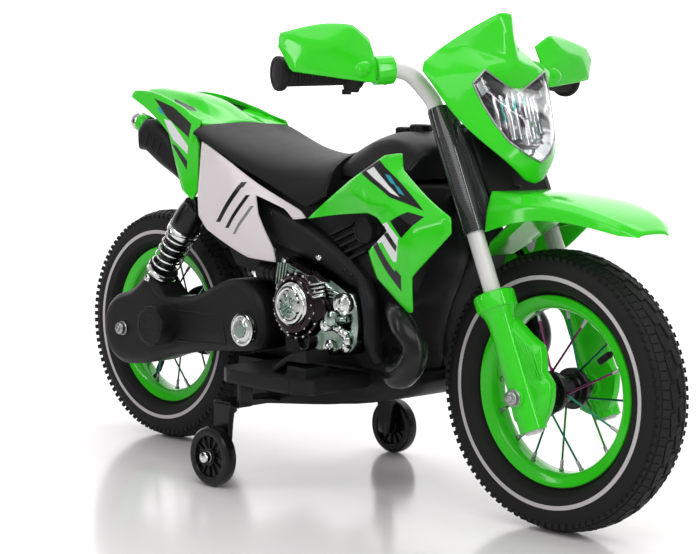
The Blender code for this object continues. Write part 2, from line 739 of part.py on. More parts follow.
def shock_spring(name):
    """An open coil between the two cups, with its end turns drawn flat."""
    _, first, second = frame_of(SHOCK_AXIS)
    low = LOWER_CUP + GAP + SPRING_WIRE_RADIUS
    high = UPPER_CUP - GAP - SPRING_WIRE_RADIUS
    count = SPRING_CURLS * POINTS_PER_CURL
    path = []
    for k in range(count + 1):
        angle = 2 * math.pi * k / POINTS_PER_CURL
        path.append(along_shock(low + (high - low) * k / count)
                    + (first * math.cos(angle) + second * math.sin(angle)) * SPRING_RADIUS)
    curve = bpy.data.curves.new(name, "CURVE")
    curve.dimensions = "3D"
    curve.bevel_depth = SPRING_WIRE_RADIUS
    curve.bevel_resolution = 1
    curve.use_fill_caps = True
    line = curve.splines.new("POLY")
    line.points.add(len(path) - 1)
    for point, place in zip(line.points, path):
        point.co = (*place, 1.0)
    spring = bpy.data.objects.new(name, curve)
    bpy.context.collection.objects.link(spring)
    graph = bpy.context.evaluated_depsgraph_get()
    shape = bmesh.new()
    shape.from_mesh(bpy.data.meshes.new_from_object(spring.evaluated_get(graph)))
    bmesh.ops.remove_doubles(shape, verts=shape.verts, dist=1e-6)
    bpy.data.objects.remove(spring)
    least = min((path[a] - path[b]).length for a in range(len(path))
                for b in range(a + POINTS_PER_CURL - 2, len(path)))
    print(name, "least gap to itself, mm:", round((least - 2 * SPRING_WIRE_RADIUS) * 1000, 2))
    return make_object(name, shape, CHROME)


# Fork, steering and handlebar

BAR_START = front_side_point(0.5295, 0.5125, -0.1210)
GRIP_START = front_side_point(0.5145, 0.5090, -0.1580)
GRIP_END = front_side_point(0.4790, 0.5045, -0.2507)
GRIP_AXIS = (GRIP_END - GRIP_START).normalized()


def handlebar_path():
    """The steel tube's centre line, from below the axle up to the grip."""
    bottom = fork_point(0, -FORK_TUBE_BELOW_AXLE, -FORK_HALF_SPREAD)
    leg_top = fork_point(0, UPPER_COVER_END + 0.001, -FORK_HALF_SPREAD)
    below = fork_point(0, UPPER_COVER_END - 0.024, -FORK_HALF_SPREAD)
    bend = [front_side_point(0.5392, 0.4920, -0.0800), front_side_point(0.5362, 0.5050, -0.0930),
            front_side_point(0.5335, 0.5115, -0.1070), BAR_START]
    return [bottom, leg_top] + smooth_path([leg_top] + bend, 0.014, below)[1:] + [GRIP_START, GRIP_END]


def fork_tube(name):
    """One bent steel tube a side: fork leg below, handlebar above."""
    tube = swept(name, WHITE_PAINT, handlebar_path(), FORK_TUBE_RADIUS, sides=12)
    cut(tube, rod("axle_hole", WHITE_PAINT, FRONT_AXLE, FRONT_AXLE - SIDE * 0.12, AXLE_RADIUS + GAP))
    return tube


def fork_leg_rod(radius, start, end, look=GREEN, steps=12):
    return rod("leg", look, fork_point(0, start, -FORK_HALF_SPREAD), fork_point(0, end, -FORK_HALF_SPREAD),
               radius, steps)


def fork_lower_cover(name):
    """The green lower shell: a sleeve with a collar and a forward guard blade."""
    base = -FORK_TUBE_BELOW_AXLE + 0.004
    bore = FORK_TUBE_RADIUS + GAP + 0.0003
    centre = fork_point(0, 0, -FORK_HALF_SPREAD)
    collar_low = LOWER_COVER_TOP - 0.016
    profile = [(0, base), (LOWER_COVER_RADIUS, base), (LOWER_COVER_RADIUS, collar_low - 0.012),
               (LOWER_COVER_COLLAR_RADIUS, collar_low), (LOWER_COVER_COLLAR_RADIUS, LOWER_COVER_TOP - 0.002),
               (LOWER_COVER_COLLAR_RADIUS - 0.002, LOWER_COVER_TOP), (0, LOWER_COVER_TOP)]
    cover = turned(name, GREEN, profile, centre, FORK_UP, steps=12)
    blade = [(0.010, 0.090), (0.019, 0.078), (0.027, 0.062), (0.040, 0.045), (0.038, 0.030), (0.033, 0.018),
             (0.038, 0.002), (0.030, -0.018), (0.012, -0.034), (-0.010, -0.034), (-0.026, -0.022), (-0.024, 0.002),
             (-0.012, 0.018), (-0.008, 0.040)]
    def place(forward, along, y):
        return fork_point(forward, along, y)
    outer = -FORK_HALF_SPREAD - 0.004
    inner = -FORK_HALF_SPREAD + 0.014
    rim_y = -FORK_HALF_SPREAD + 0.004
    raised = [(a, b, outer) for a, b in inset(blade, 0.006)]
    guard = relief("guard", place, GREEN, [(a, b, rim_y) for a, b in blade], raised, back=inner)
    boss = rod("boss", GREEN, FRONT_AXLE - SIDE * (FORK_HALF_SPREAD - 0.0155),
               FRONT_AXLE - SIDE * (FORK_HALF_SPREAD + 0.0165), 0.0125)
    join(cover, guard, boss)
    cut(cover, fork_leg_rod(bore, base - 0.02, LOWER_COVER_TOP + 0.02))
    cut(cover, rod("axle_hole", GREEN, FRONT_AXLE, FRONT_AXLE - SIDE * 0.12, AXLE_RADIUS + GAP))
    return cover


def fork_upper_cover(name):
    """The carbon-look cover over the upper leg, with a forward flange."""
    bore = FORK_TUBE_RADIUS + GAP + 0.0003
    cover = fork_leg_rod(UPPER_COVER_RADIUS, UPPER_COVER_START, UPPER_COVER_END, BLACK_PLASTIC, 14)
    cover.name = name
    outline = [(0.006, UPPER_COVER_START + 0.001), (0.0213, UPPER_COVER_START + 0.004),
               (0.0233, UPPER_COVER_START + 0.030), (0.020, 0.300), (0.012, UPPER_COVER_END - 0.008),
               (0.004, UPPER_COVER_END - 0.002)]
    def place(forward, along, y):
        return fork_point(forward, along, y)
    flange = prism("flange", place, BLACK_PLASTIC, outline, -FORK_HALF_SPREAD + 0.005, -FORK_HALF_SPREAD + 0.0125)
    join(cover, flange)
    cut(cover, fork_leg_rod(bore, UPPER_COVER_START - 0.02, UPPER_COVER_END + 0.02, BLACK_PLASTIC, 14))
    return cover


def stem_point(along, y=0.0):
    """A point on the steering axis, measured up from the axle's level on the fork."""
    return fork_point(-STEM_SETBACK, along, y)


def steering_stem():
    """The lower clamp between the two covers, with the stem that turns in the head tube."""
    level = CLAMP_LEVEL
    def place(forward, y, along):
        return fork_point(forward, along, y)
    reach = FORK_HALF_SPREAD
    outline = [(-STEM_SETBACK - 0.016, -0.018), (-0.010, -reach), (0.010, -reach), (0.010, reach),
               (-0.010, reach), (-STEM_SETBACK - 0.016, 0.018)]
    clamp = prism("steering_stem", place, STEEL, outline, level, level + CLAMP_THICKNESS)
    top = HEAD_TUBE_END + 0.006
    stem = rod("stem", STEEL, stem_point(level + 0.002), stem_point(top), STEM_RADIUS)
    cap = rod("cap", STEEL, stem_point(HEAD_TUBE_END + GAP), stem_point(top), STEM_RADIUS + 0.005)
    join(clamp, stem, cap)
    for side in (-1, 1):
        hole = rod("seat", STEEL, fork_point(0, level - 0.02, side * reach),
                   fork_point(0, level + 0.04, side * reach), UPPER_COVER_RADIUS + GAP + 0.0003, 14)
        cut(clamp, hole)
    for side in (-1, 1):
        flange_room = prism("room", place, STEEL,
                            [(0.0, side * (reach - 0.005)), (0.03, side * (reach - 0.005)),
                             (0.03, side * (reach - 0.0130)), (0.0, side * (reach - 0.0130))],
                            level - 0.01, level + 0.03)
        cut(clamp, flange_room)
        outside = prism("outside", place, STEEL,
                        [(-0.05, side * (reach - 0.0002)), (0.05, side * (reach - 0.0002)),
                         (0.05, side * (reach + 0.03)), (-0.05, side * (reach + 0.03))], level - 0.01, level + 0.03)
        cut(clamp, outside)
    return clamp


def front_fender():
    """The high fender: a long arched beak with skirts, and a tongue under the clamp."""
    stations = [(0.6250, 0.3795, 0.064, 0.3345), (0.6450, 0.3810, 0.066, 0.3410), (0.6750, 0.3820, 0.066, 0.3500),
                (0.7050, 0.3790, 0.064, 0.3530), (0.7400, 0.3740, 0.060, 0.3530), (0.7760, 0.3630, 0.054, 0.3470),
                (0.7930, 0.3550, 0.043, 0.3420), (0.8060, 0.3455, 0.024, 0.3400)]
    rings = []
    for x, top, half, low in stations:
        drop = top - low
        outer = [(-half - 0.003, low), (-half, low + 0.55 * drop), (-half * 0.80, top - 0.10 * drop),
                 (-half * 0.35, top), (half * 0.35, top), (half * 0.80, top - 0.10 * drop), (half, low + 0.55 * drop),
                 (half + 0.003, low)]
        thick = WALL
        inner = [(half + 0.003 - thick, low), (half - thick, low + 0.55 * drop - 0.4 * thick),
                 (half * 0.80 - 0.6 * thick, top - 0.10 * drop - thick), (half * 0.35, top - thick),
                 (-half * 0.35, top - thick), (-half * 0.80 + 0.6 * thick, top - 0.10 * drop - thick),
                 (-half + thick, low + 0.55 * drop - 0.4 * thick), (-half - 0.003 + thick, low)]
        rings.append([front_side_point(x, z, y) for y, z in outer + inner])
    fender = loft("front_fender", GREEN, rings, strip=True)
    tongue = loft("tongue", GREEN, [
        [front_side_point(x, z + dz, y) for y, dz in ((-w, 0), (w, 0), (w, -0.006), (-w, -0.006))]
        for x, z, w in ((0.592, 0.3090, 0.022), (0.606, 0.3220, 0.036), (0.640, 0.3460, 0.042), (0.660, 0.3600, 0.048))])
    bridge = block("bridge", GREEN, front_side_point(0.655, 0.3560, -0.0655), front_side_point(0.685, 0.3610, 0.0655))
    join(fender, tongue, bridge)
    return fender


# Front view outlines of the mask as (y, z, x), the right half from top to bottom
MASK_EDGE = [(0.0, 0.5805, 0.5905), (-0.010, 0.5795, 0.5900), (-0.042, 0.5585, 0.5690), (-0.073, 0.5355, 0.5545),
             (-0.094, 0.5220, 0.5540), (-0.100, 0.5120, 0.5575), (-0.0985, 0.4990, 0.5700), (-0.088, 0.4710, 0.5868),
             (-0.075, 0.4480, 0.6050), (-0.058, 0.4280, 0.6233), (-0.036, 0.4095, 0.6360), (-0.015, 0.3920, 0.6400),
             (0.0, 0.3880, 0.6405)]
MASK_OPENING = [(0.0, 0.4881, 0.6110), (-0.052, 0.5152, 0.6060), (-0.066, 0.4993, 0.6000), (-0.060, 0.4760, 0.6100),
                (-0.052, 0.4548, 0.6215), (-0.040, 0.4347, 0.6335), (-0.020, 0.4195, 0.6445), (0.0, 0.4114, 0.6475)]
MASK_RIDGE = [(0.0, 0.5240, 0.6100), (0.0, 0.5500, 0.6020), (-0.048, 0.5400, 0.5860), (0.048, 0.5400, 0.5860),
              (-0.078, 0.5050, 0.5900), (0.078, 0.5050, 0.5900)]


def headlight_mask():
    return relief("headlight_mask", front_view_point, GREEN, mirror_outline(MASK_EDGE), MASK_RIDGE, wall=-WALL,
                  hole=mirror_outline(MASK_OPENING))


def toward_centre(outline, distance):
    """An opening outline grown or shrunk about its own middle, in front view."""
    flat = inset([(y, z) for y, z, _ in outline], distance)
    return [(y, z, x) for (y, z), (_, _, x) in zip(flat, outline)]


def headlight_lens():
    """The clear lens, which bulges out of the mask's opening."""
    edge = toward_centre(mirror_outline(MASK_OPENING), GAP + 0.0003)
    bulge = [(0.0, 0.4700, 0.6540), (0.0, 0.4400, 0.6580), (-0.030, 0.4750, 0.6370), (0.030, 0.4750, 0.6370),
             (-0.025, 0.4480, 0.6480), (0.025, 0.4480, 0.6480), (-0.048, 0.4950, 0.6160), (0.048, 0.4950, 0.6160)]
    return relief("headlight_lens", front_view_point, CLEAR, edge, bulge, wall=-LENS_THICKNESS)


def headlight_reflector():
    """The chrome bowl behind the lens."""
    opening = mirror_outline(MASK_OPENING)
    edge = [(y, z, x - LENS_THICKNESS - GAP) for y, z, x in toward_centre(opening, GAP + 0.0003)]
    bowl = [(y, z, x - 0.026) for y, z, x in toward_centre(opening, 0.011)]
    return relief("headlight_reflector", front_view_point, CHROME, edge, bowl, wall=-LENS_THICKNESS)


def mask_back_cover():
    """The black cover between the legs that carries the mask and the headlight."""
    def place(y, along, forward):
        return fork_point(forward, along, y)
    half = FORK_HALF_SPREAD - 0.0145
    low = CLAMP_LEVEL + CLAMP_THICKNESS + 0.004
    high = UPPER_COVER_END - 0.004
    outline = [(-half, low), (half, low), (half, high - 0.030), (half * 0.7, high), (-half * 0.7, high),
               (-half, high - 0.030)]
    cover = prism("mask_back_cover", place, BLACK_PLASTIC, outline, 0.024, 0.0205)
    ribs = []
    for side in (-1, 1):
        strip = [(side * half, low), (side * half, high - 0.030), (side * (half - WALL), high - 0.030),
                 (side * (half - WALL), low)]
        ribs.append(prism("rib", place, BLACK_PLASTIC, strip, 0.023, -0.006))
    join(cover, *ribs)
    post_start = fork_point(0.022, 0.290, 0)
    join(cover, rod("post", BLACK_PLASTIC, post_start, (post_start.x + 0.0175, 0, post_start.z), 0.008))
    foot = rod("foot", BLACK_PLASTIC, fork_point(0.012, CLAMP_LEVEL + CLAMP_THICKNESS + GAP, 0),
               fork_point(0.022, low + 0.010, 0), 0.006)
    join(cover, foot)
    return cover


def grip(name, with_pod):
    """A rubber grip over the bar's end, with an end flange."""
    axis = GRIP_AXIS
    start = GRIP_END - axis * (GRIP_LENGTH - 0.004)
    bore = FORK_TUBE_RADIUS + GAP + 0.0003
    end = GRIP_LENGTH - 0.004
    profile = [(bore, 0), (GRIP_RADIUS, 0), (GRIP_RADIUS, 0.020), (GRIP_RADIUS - 0.0015, 0.045),
               (GRIP_RADIUS, end - 0.006), (GRIP_FLANGE_RADIUS - 0.002, end - 0.004), (GRIP_FLANGE_RADIUS, end),
               (GRIP_FLANGE_RADIUS, end + 0.004), (0.013, end + 0.009), (0, end + 0.009), (0, end + GAP),
               (bore, end + GAP)]
    rubber = turned(name, RUBBER, profile, start, axis, steps=14, ring=True)
    if with_pod:
        pod_centre = start + axis * 0.012
        pod = rod("pod", RUBBER, pod_centre + Vector((0.003, 0, -0.0113)), pod_centre + Vector((0.003, 0, -0.0225)),
                  0.0085, 10)
        join(rubber, pod)
        well = rod("well", RUBBER, pod_centre + Vector((0.003, 0, -0.0165)),
                   pod_centre + Vector((0.003, 0, -0.030)), BUTTON_RADIUS + GAP + 0.0002, 10)
        cut(rubber, well)
    return rubber


def horn_button():
    """The thumb button in the pod under the right grip."""
    start = GRIP_END - GRIP_AXIS * (GRIP_LENGTH - 0.004) + GRIP_AXIS * 0.012
    button = rod("horn_button", GREEN, start + Vector((0.003, 0, -0.0190)), start + Vector((0.003, 0, -0.0248)),
                 BUTTON_RADIUS, 10)
    return button


# The hand guard as (y, z, x), from its outer top corner
GUARD_OUTLINE = [(-0.2640, 0.5480, 0.5010), (-0.2020, 0.5628, 0.5010), (-0.1700, 0.5605, 0.5150),
                 (-0.1440, 0.5465, 0.5150), (-0.1460, 0.5200, 0.5280), (-0.1500, 0.4965, 0.5340),
                 (-0.2560, 0.5070, 0.5120), (-0.2620, 0.5200, 0.5085), (-0.2690, 0.5330, 0.5050)]


def hand_guard(name):
    """The green guard in front of the grip, with the cuff that clamps it to the bar."""
    ridge = [(-0.2350, 0.5350, 0.5180), (-0.1900, 0.5350, 0.5260)]
    guard = relief(name, front_view_point, GREEN, GUARD_OUTLINE, ridge, wall=-WALL)
    axis = (GRIP_START - BAR_START).normalized()
    cuff = rod("cuff", GREEN, BAR_START + axis * 0.001, BAR_START + axis * 0.023, 0.0165, 14)
    arm = loft("arm", GREEN, [
        [front_view_point(y, z, x) for z, x in ((zl, xa), (zh, xa), (zh, xb), (zl, xb))]
        for y, zl, zh, xa, xb in ((-0.1290, 0.5050, 0.5200, 0.5400, 0.5300), (-0.1520, 0.5050, 0.5230, 0.5275, 0.5245))])
    join(guard, cuff, arm)
    bore = FORK_TUBE_RADIUS + GAP + 0.0003
    cut(guard, rod("bore", GREEN, BAR_START - axis * 0.02, GRIP_START + axis * 0.004, bore, 14))
    return guard


# Body

BODY_OUTLINE = [(0.175, 0.400), (0.250, 0.386), (0.330, 0.379), (0.400, 0.3835), (0.500, 0.3850),
                (0.516, 0.378), (0.536, 0.335), (0.545, 0.300), (0.535, 0.270), (0.518, 0.240), (0.507, 0.200),
                (0.507, 0.1605), (0.300, 0.1605), (0.300, 0.250), (0.235, 0.2565), (0.205, 0.2620), (0.178, 0.3000)]


def pan_floor(x):
    """Height of the pan's underside along its length."""
    return 0.080 + 0.16 * (x - 0.20) if x < 0.40 else 0.112 + 0.20 * (x - 0.40)


def frame_tube(points, radius, sides=10):
    return swept("tube", STEEL, smooth_path([side_point(x, z, 0.0) for x, z in points], 0.05), radius, sides)


def main_frame():
    """The welded steel frame inside the body: head tube, backbone, pivot lug and seat rail."""
    head_low, head_high = stem_point(HEAD_TUBE_START), stem_point(HEAD_TUBE_END)
    head = rod("main_frame", STEEL, head_low, head_high, HEAD_TUBE_RADIUS, 12)
    meet = stem_point(BACKBONE_LEVEL)
    backbone = swept("tube", STEEL, [meet, side_point(*BACKBONE_BEND, 0), side_point(0.330, 0.335, 0)],
                     BACKBONE_RADIUS, 8)
    down = swept("tube", STEEL, [side_point(0.3435, 0.3390, 0), side_point(0.315, 0.260, 0), PIVOT], 0.0107, 8)
    rail = swept("tube", STEEL, [side_point(0.3475, 0.3370, 0), side_point(0.200, 0.352, 0),
                                 side_point(SHOCK_UPPER_X, 0.365, 0), side_point(0.062, 0.398, 0)], 0.009, 8)
    lug = rod("lug", STEEL, PIVOT - SIDE * PIVOT_LUG_HALF, PIVOT + SIDE * PIVOT_LUG_HALF, PIVOT_LUG_RADIUS, 12)
    upper = Vector((SHOCK_UPPER_X, 0.0, SHOCK_UPPER_Z + RIDE))
    reach = SHOCK_Y + 0.0125
    cross = rod("cross", STEEL, upper - SIDE * reach, upper + SIDE * reach, SHOCK_PIN_RADIUS, 12)
    hanger = block("hanger", STEEL, upper + Vector((-0.006, -0.030, -0.006)), upper + Vector((0.006, 0.030, 0.034)))
    bed = block("bed", STEEL, side_point(0.312, 0.1875, -0.012), side_point(0.345, 0.262, 0.012))
    join(head, backbone, down, rail, lug, cross, hanger, bed)
    cut(head, rod("bore", STEEL, stem_point(HEAD_TUBE_START - 0.02), stem_point(HEAD_TUBE_END + 0.02),
                  STEM_RADIUS + RUNNING_GAP, 12))
    cut(head, rod("bore", STEEL, PIVOT - SIDE * 0.06, PIVOT + SIDE * 0.06, PIVOT_BOLT_RADIUS + GAP + 0.0003, 12))
    return head


def exhaust_elbow():
    """The fat pipe that bends out of the body and back in."""
    points = [(0.496, 0.244, -0.062), (0.520, 0.237, -0.092), (0.546, 0.2225, -0.1085), (0.563, 0.198, -0.1085),
              (0.551, 0.173, -0.1085), (0.526, 0.165, -0.1000), (0.494, 0.176, -0.064)]
    path = smooth_path([side_point(x, z, y) for x, z, y in points], 0.030)
    return swept("elbow", BLACK_PLASTIC, path, 0.0152, 8)


def body_shell(name):
    """One half of the black body, with its moulded beam, fins, cap and pipes."""
    shell = prism(name, side_point, BLACK_PLASTIC, BODY_OUTLINE, -BODY_HALF_WIDTH, -GAP / 2)
    inner = inset(BODY_OUTLINE, WALL)
    cut(shell, prism("hollow", side_point, BLACK_PLASTIC, inner, -BODY_HALF_WIDTH + WALL, 0.01))
    beam_outline = [(0.2380, 0.3560), (0.2638, 0.3500), (0.3177, 0.3365), (0.3658, 0.3203), (0.4052, 0.2992),
                    (0.4399, 0.2783), (0.4560, 0.2640), (0.4490, 0.2565), (0.4293, 0.2549), (0.4023, 0.2670),
                    (0.3710, 0.2776), (0.3188, 0.2895), (0.2850, 0.3000), (0.2644, 0.3185)]
    raised = [(a, b, -BODY_HALF_WIDTH - 0.014) for a, b in inset(beam_outline, 0.005)]
    beam = relief("beam", side_point, BLACK_PLASTIC,
                  [(a, b, -BODY_HALF_WIDTH - 0.009) for a, b in beam_outline], raised, back=-BODY_HALF_WIDTH + 0.001)
    join(shell, beam)
    for k in range(5):
        x, z, length = 0.3860 + 0.0090 * k, 0.3155 - 0.0063 * k, 0.042 - 0.0036 * k
        rise = 0.42 * length
        rib = [(x, z), (x + length, z + rise), (x + length + 0.0012, z + rise - 0.0028), (x + 0.0012, z - 0.0028)]
        join(shell, prism("fin", side_point, BLACK_PLASTIC, rib, -BODY_HALF_WIDTH - 0.009, -BODY_HALF_WIDTH + 0.001))
    disc = side_point(0.4501, 0.3242, 0)
    join(shell, rod("disc", BLACK_PLASTIC, disc - SIDE * 0.068, disc - SIDE * 0.081, 0.0150, 12))
    heel = [(0.447, 0.1615), (0.447, 0.1760), (0.460, 0.1870), (0.480, 0.1810), (0.486, 0.1615)]
    join(shell, prism("heel", side_point, BLACK_PLASTIC, heel, -BODY_HALF_WIDTH - 0.009, -BODY_HALF_WIDTH + 0.001))
    cheek = [(0.3015, 0.1610), (0.3015, 0.2555), (0.2370, 0.2670), (0.2260, 0.2450), (0.2230, 0.2100), (0.2320, 0.1700),
             (0.2400, 0.1610)]
    plate = prism("cheek", side_point, BLACK_PLASTIC, cheek, -CASING_INNER_Y + 0.0006, -CASING_INNER_Y + 0.0031)
    cut(plate, rod("hole", BLACK_PLASTIC, PIVOT, PIVOT - SIDE * 0.06, PIVOT_LUG_RADIUS + RUNNING_GAP, 12))
    join(shell, plate)
    cradle_points = [(0.452, 0.262, -0.080), (0.4660, 0.245, -0.086), (0.4737, 0.2163, -0.088), (0.4762, 0.1931, -0.088),
                     (0.4740, 0.1760, -0.076)]
    cradle = swept("cradle", BLACK_PLASTIC,
                   smooth_path([side_point(x, z, y) for x, z, y in cradle_points], 0.04), 0.0098, 8)
    join(shell, cradle, exhaust_elbow())
    bend = side_point(*BACKBONE_BEND, 0)
    forward = (stem_point(BACKBONE_LEVEL) - bend).normalized()
    cut(shell, rod("backbone_hole", BLACK_PLASTIC, bend + forward * 0.003, bend + forward * 0.070,
                   BACKBONE_RADIUS + 0.0015))
    cut(shell, block("arm_hole", BLACK_PLASTIC, side_point(0.2800, 0.200, -0.014), side_point(0.3045, 0.268, 0.01)))
    cut(shell, block("battery_hole", BLACK_PLASTIC, side_point(BATTERY_REAR - 0.002, 0.15, -BATTERY_HALF_WIDTH - 0.001),
                     side_point(BATTERY_FRONT + 0.002, 0.18, 0.01)))
    cut(shell, block("rail_hole", BLACK_PLASTIC, side_point(0.165, 0.338, -0.012), side_point(0.195, 0.368, 0.01)))
    return shell


def floor_pan():
    """The belly pan and both footboards, moulded in one piece."""
    side_view = [(0.200, 0.145), (0.200, 0.080), (0.300, 0.094), (0.400, 0.106), (0.495, 0.126), (0.512, 0.138),
                 (0.518, 0.150), (0.514, 0.160), (0.3005, 0.160), (0.298, 0.145)]
    pan = prism("floor_pan", side_point, BLACK_PLASTIC, side_view, -PAN_HALF_WIDTH, PAN_HALF_WIDTH)
    well = [(0.3045, 0.1700), (0.3045, 0.1205), (0.456, 0.1265), (0.500, 0.142), (0.504, 0.1700)]
    cut(pan, prism("well", side_point, BLACK_PLASTIC, well, -PAN_HALF_WIDTH + WALL, PAN_HALF_WIDTH - WALL))
    rear_well = [(0.204, 0.150), (0.204, 0.085), (0.298, 0.100), (0.2945, 0.150)]
    cut(pan, prism("rear_well", side_point, BLACK_PLASTIC, rear_well, -PAN_HALF_WIDTH + WALL, PAN_HALF_WIDTH - WALL))
    for side in (-1, 1):
        board = [(0.292, 0.1520), (0.292, 0.1345), (0.447, 0.1355), (0.447, 0.1525)]
        outer = side * FOOTBOARD_HALF_WIDTH
        inner = side * (PAN_HALF_WIDTH - 0.002)
        footboard = prism("footboard", side_point, BLACK_PLASTIC, board, outer, inner)
        for x, way in ((0.292, 1), (0.447, -1)):
            turn = x + way * CORNER
            middle = outer - side * CORNER
            corner = block("corner", BLACK_PLASTIC, side_point(min(x - way * 0.01, turn), 0.12, min(outer + side * 0.01, middle)),
                           side_point(max(x - way * 0.01, turn), 0.19, max(outer + side * 0.01, middle)))
            cut(corner, rod("round", BLACK_PLASTIC, side_point(turn, 0.10, middle), side_point(turn, 0.21, middle),
                            CORNER, 12))
            cut(footboard, corner)
        hollow = [(0.297, 0.128), (0.297, 0.1475), (0.442, 0.1480), (0.442, 0.128)]
        room = prism("room", side_point, BLACK_PLASTIC, hollow, outer - side * CORNER, side * (PAN_HALF_WIDTH + 0.004))
        cut(footboard, room)
        join(pan, footboard)
    base = block("base", BLACK_PLASTIC, side_point(0.394, 0.151, -0.150), side_point(0.428, PEDAL_BASE_TOP, -0.112))
    join(pan, base)
    return pan


def seat_ring(x, top, shoulder, low, under):
    """One cross-section of the seat: a saddle that drapes over the body."""
    inner = BODY_HALF_WIDTH + GAP
    half = [(0.0, top), (0.040, top - 0.003), (0.072, shoulder), (SEAT_HALF_WIDTH - 0.004, (shoulder + low) / 2),
            (SEAT_HALF_WIDTH, low), (inner, low), (inner, under), (0.035, under)]
    left = [(y, z) for y, z in half]
    right = [(-y, z) for y, z in reversed(half) if y > 0]
    return [side_point(x, z, y) for y, z in left + right]


def seat():
    stations = [(0.1425, 0.4440, 0.4400, 0.4270, 0.4275), (0.1700, 0.4350, 0.4290, 0.4180, 0.4185),
                (0.2080, 0.4255, 0.4160, 0.4010, 0.4020), (0.2480, 0.4180, 0.4060, 0.3855, 0.3868),
                (0.2900, 0.4110, 0.3970, 0.3720, 0.3833), (0.3300, 0.4090, 0.3940, 0.3560, 0.3795),
                (0.3600, 0.4110, 0.3960, 0.3460, 0.3815), (0.3960, 0.4190, 0.4040, 0.3620, 0.3838)]
    return loft("seat", SEAT_BLACK, [seat_ring(*station) for station in stations])


def tank_ring(x, top, inner_top):
    base = 0.3850 + GAP
    half = [(0.0, top), (0.030, top - 0.001), (0.052, top - 0.010), (0.068, base + 0.012), (0.068, base),
            (0.064, base), (0.064, min(base + 0.010, inner_top)), (0.030, inner_top)]
    left = [(y, z) for y, z in half]
    right = [(-y, z) for y, z in reversed(half) if y > 0]
    return [side_point(x, z, y) for y, z in left + right]


def tank_cover():
    """The cover ahead of the seat with its two round caps."""
    solid = 0.3850 + GAP + 0.0006
    stations = [(0.3970, 0.4200, solid), (0.4010, 0.4230, 0.416), (0.4180, 0.4320, 0.426), (0.4440, 0.4400, 0.435),
                (0.4720, 0.4420, 0.437), (0.4980, 0.4330, 0.428), (0.5060, 0.4260, 0.416), (0.5100, 0.4200, solid)]
    cover = loft("tank_cover", BLACK_PLASTIC, [tank_ring(*station) for station in stations])
    for x, z, radius in ((0.435, 0.4360, 0.0105), (0.461, 0.4400, 0.0125)):
        base = side_point(x, z - 0.004, 0.0)
        join(cover, rod("cap", BLACK_PLASTIC, base, base + Vector((-0.0004, 0, 0.0125)), radius, 10))
    room = Vector((SWITCH_RADIUS + 0.0006, 0.0100, SWITCH_HALF_HEIGHT + 0.0004))
    cut(cover, block("window", BLACK_PLASTIC, SWITCH_PLACE - room, SWITCH_PLACE + room))
    return cover


SWITCH_PLACE = side_point(0.430, 0.3920, 0.068)
SWITCH_RADIUS = 0.0072
SWITCH_HALF_HEIGHT = 0.0035


def power_switch():
    """The rocker switch in the left side of the tank cover."""
    outline = [(SWITCH_RADIUS * math.cos(math.radians(a)), SWITCH_RADIUS * math.sin(math.radians(a)))
               for a in range(190, 360, 20)]
    outline += [(0.0070, 0.0012), (0.0, 0.0020), (-0.0068, 0.0042)]
    def place(x, y, z):
        return SWITCH_PLACE + Vector((x, y, z))
    rocker = prism("power_switch", place, RUBBER, outline, -SWITCH_HALF_HEIGHT, SWITCH_HALF_HEIGHT)
    set_origin(rocker, SWITCH_PLACE)
    return rocker


def side_posts(panel, places, look, radius=0.005):
    """Short posts that seat a panel against the body's side."""
    for x, z, outer in places:
        start = side_point(x, z, -BODY_HALF_WIDTH - GAP)
        join(panel, rod("post", look, start, side_point(x, z, outer), radius, 8))


def tank_shroud(name):
    """The green shroud: an upper wing and a lower shield below it, with a notch between."""
    outline = [(0.3633, 0.3322, -0.0935), (0.4080, 0.3610, -0.0990), (0.4457, 0.3853, -0.1000), (0.4853, 0.4146, -0.0860),
               (0.5045, 0.4176, -0.0780), (0.5140, 0.3990, -0.0860), (0.5722, 0.3683, -0.1040), (0.6230, 0.3528, -0.1220),
               (0.6250, 0.3354, -0.1230), (0.6015, 0.3138, -0.1230), (0.5633, 0.2822, -0.1190), (0.5567, 0.2403, -0.1090),
               (0.5504, 0.2396, -0.1090), (0.5033, 0.2753, -0.1130), (0.4878, 0.3050, -0.1130),
               (0.5270, 0.3313, -0.1210), (0.5010, 0.3440, -0.1120), (0.4813, 0.3479, -0.1080), (0.4200, 0.3420, -0.1000)]
    ridge = [(0.4560, 0.3700, -0.1100), (0.4850, 0.3600, -0.1130), (0.5300, 0.3600, -0.1160), (0.5700, 0.3400, -0.1260),
             (0.5600, 0.3120, -0.1270), (0.5250, 0.2850, -0.1200), (0.5000, 0.3950, -0.0980)]
    shroud = relief(name, side_point, GREEN, outline, ridge, wall=WALL)
    side_posts(shroud, ((0.4700, 0.3760, -0.1090), (0.5200, 0.3000, -0.1190), (0.4990, 0.3700, -0.1090)), GREEN)
    return shroud


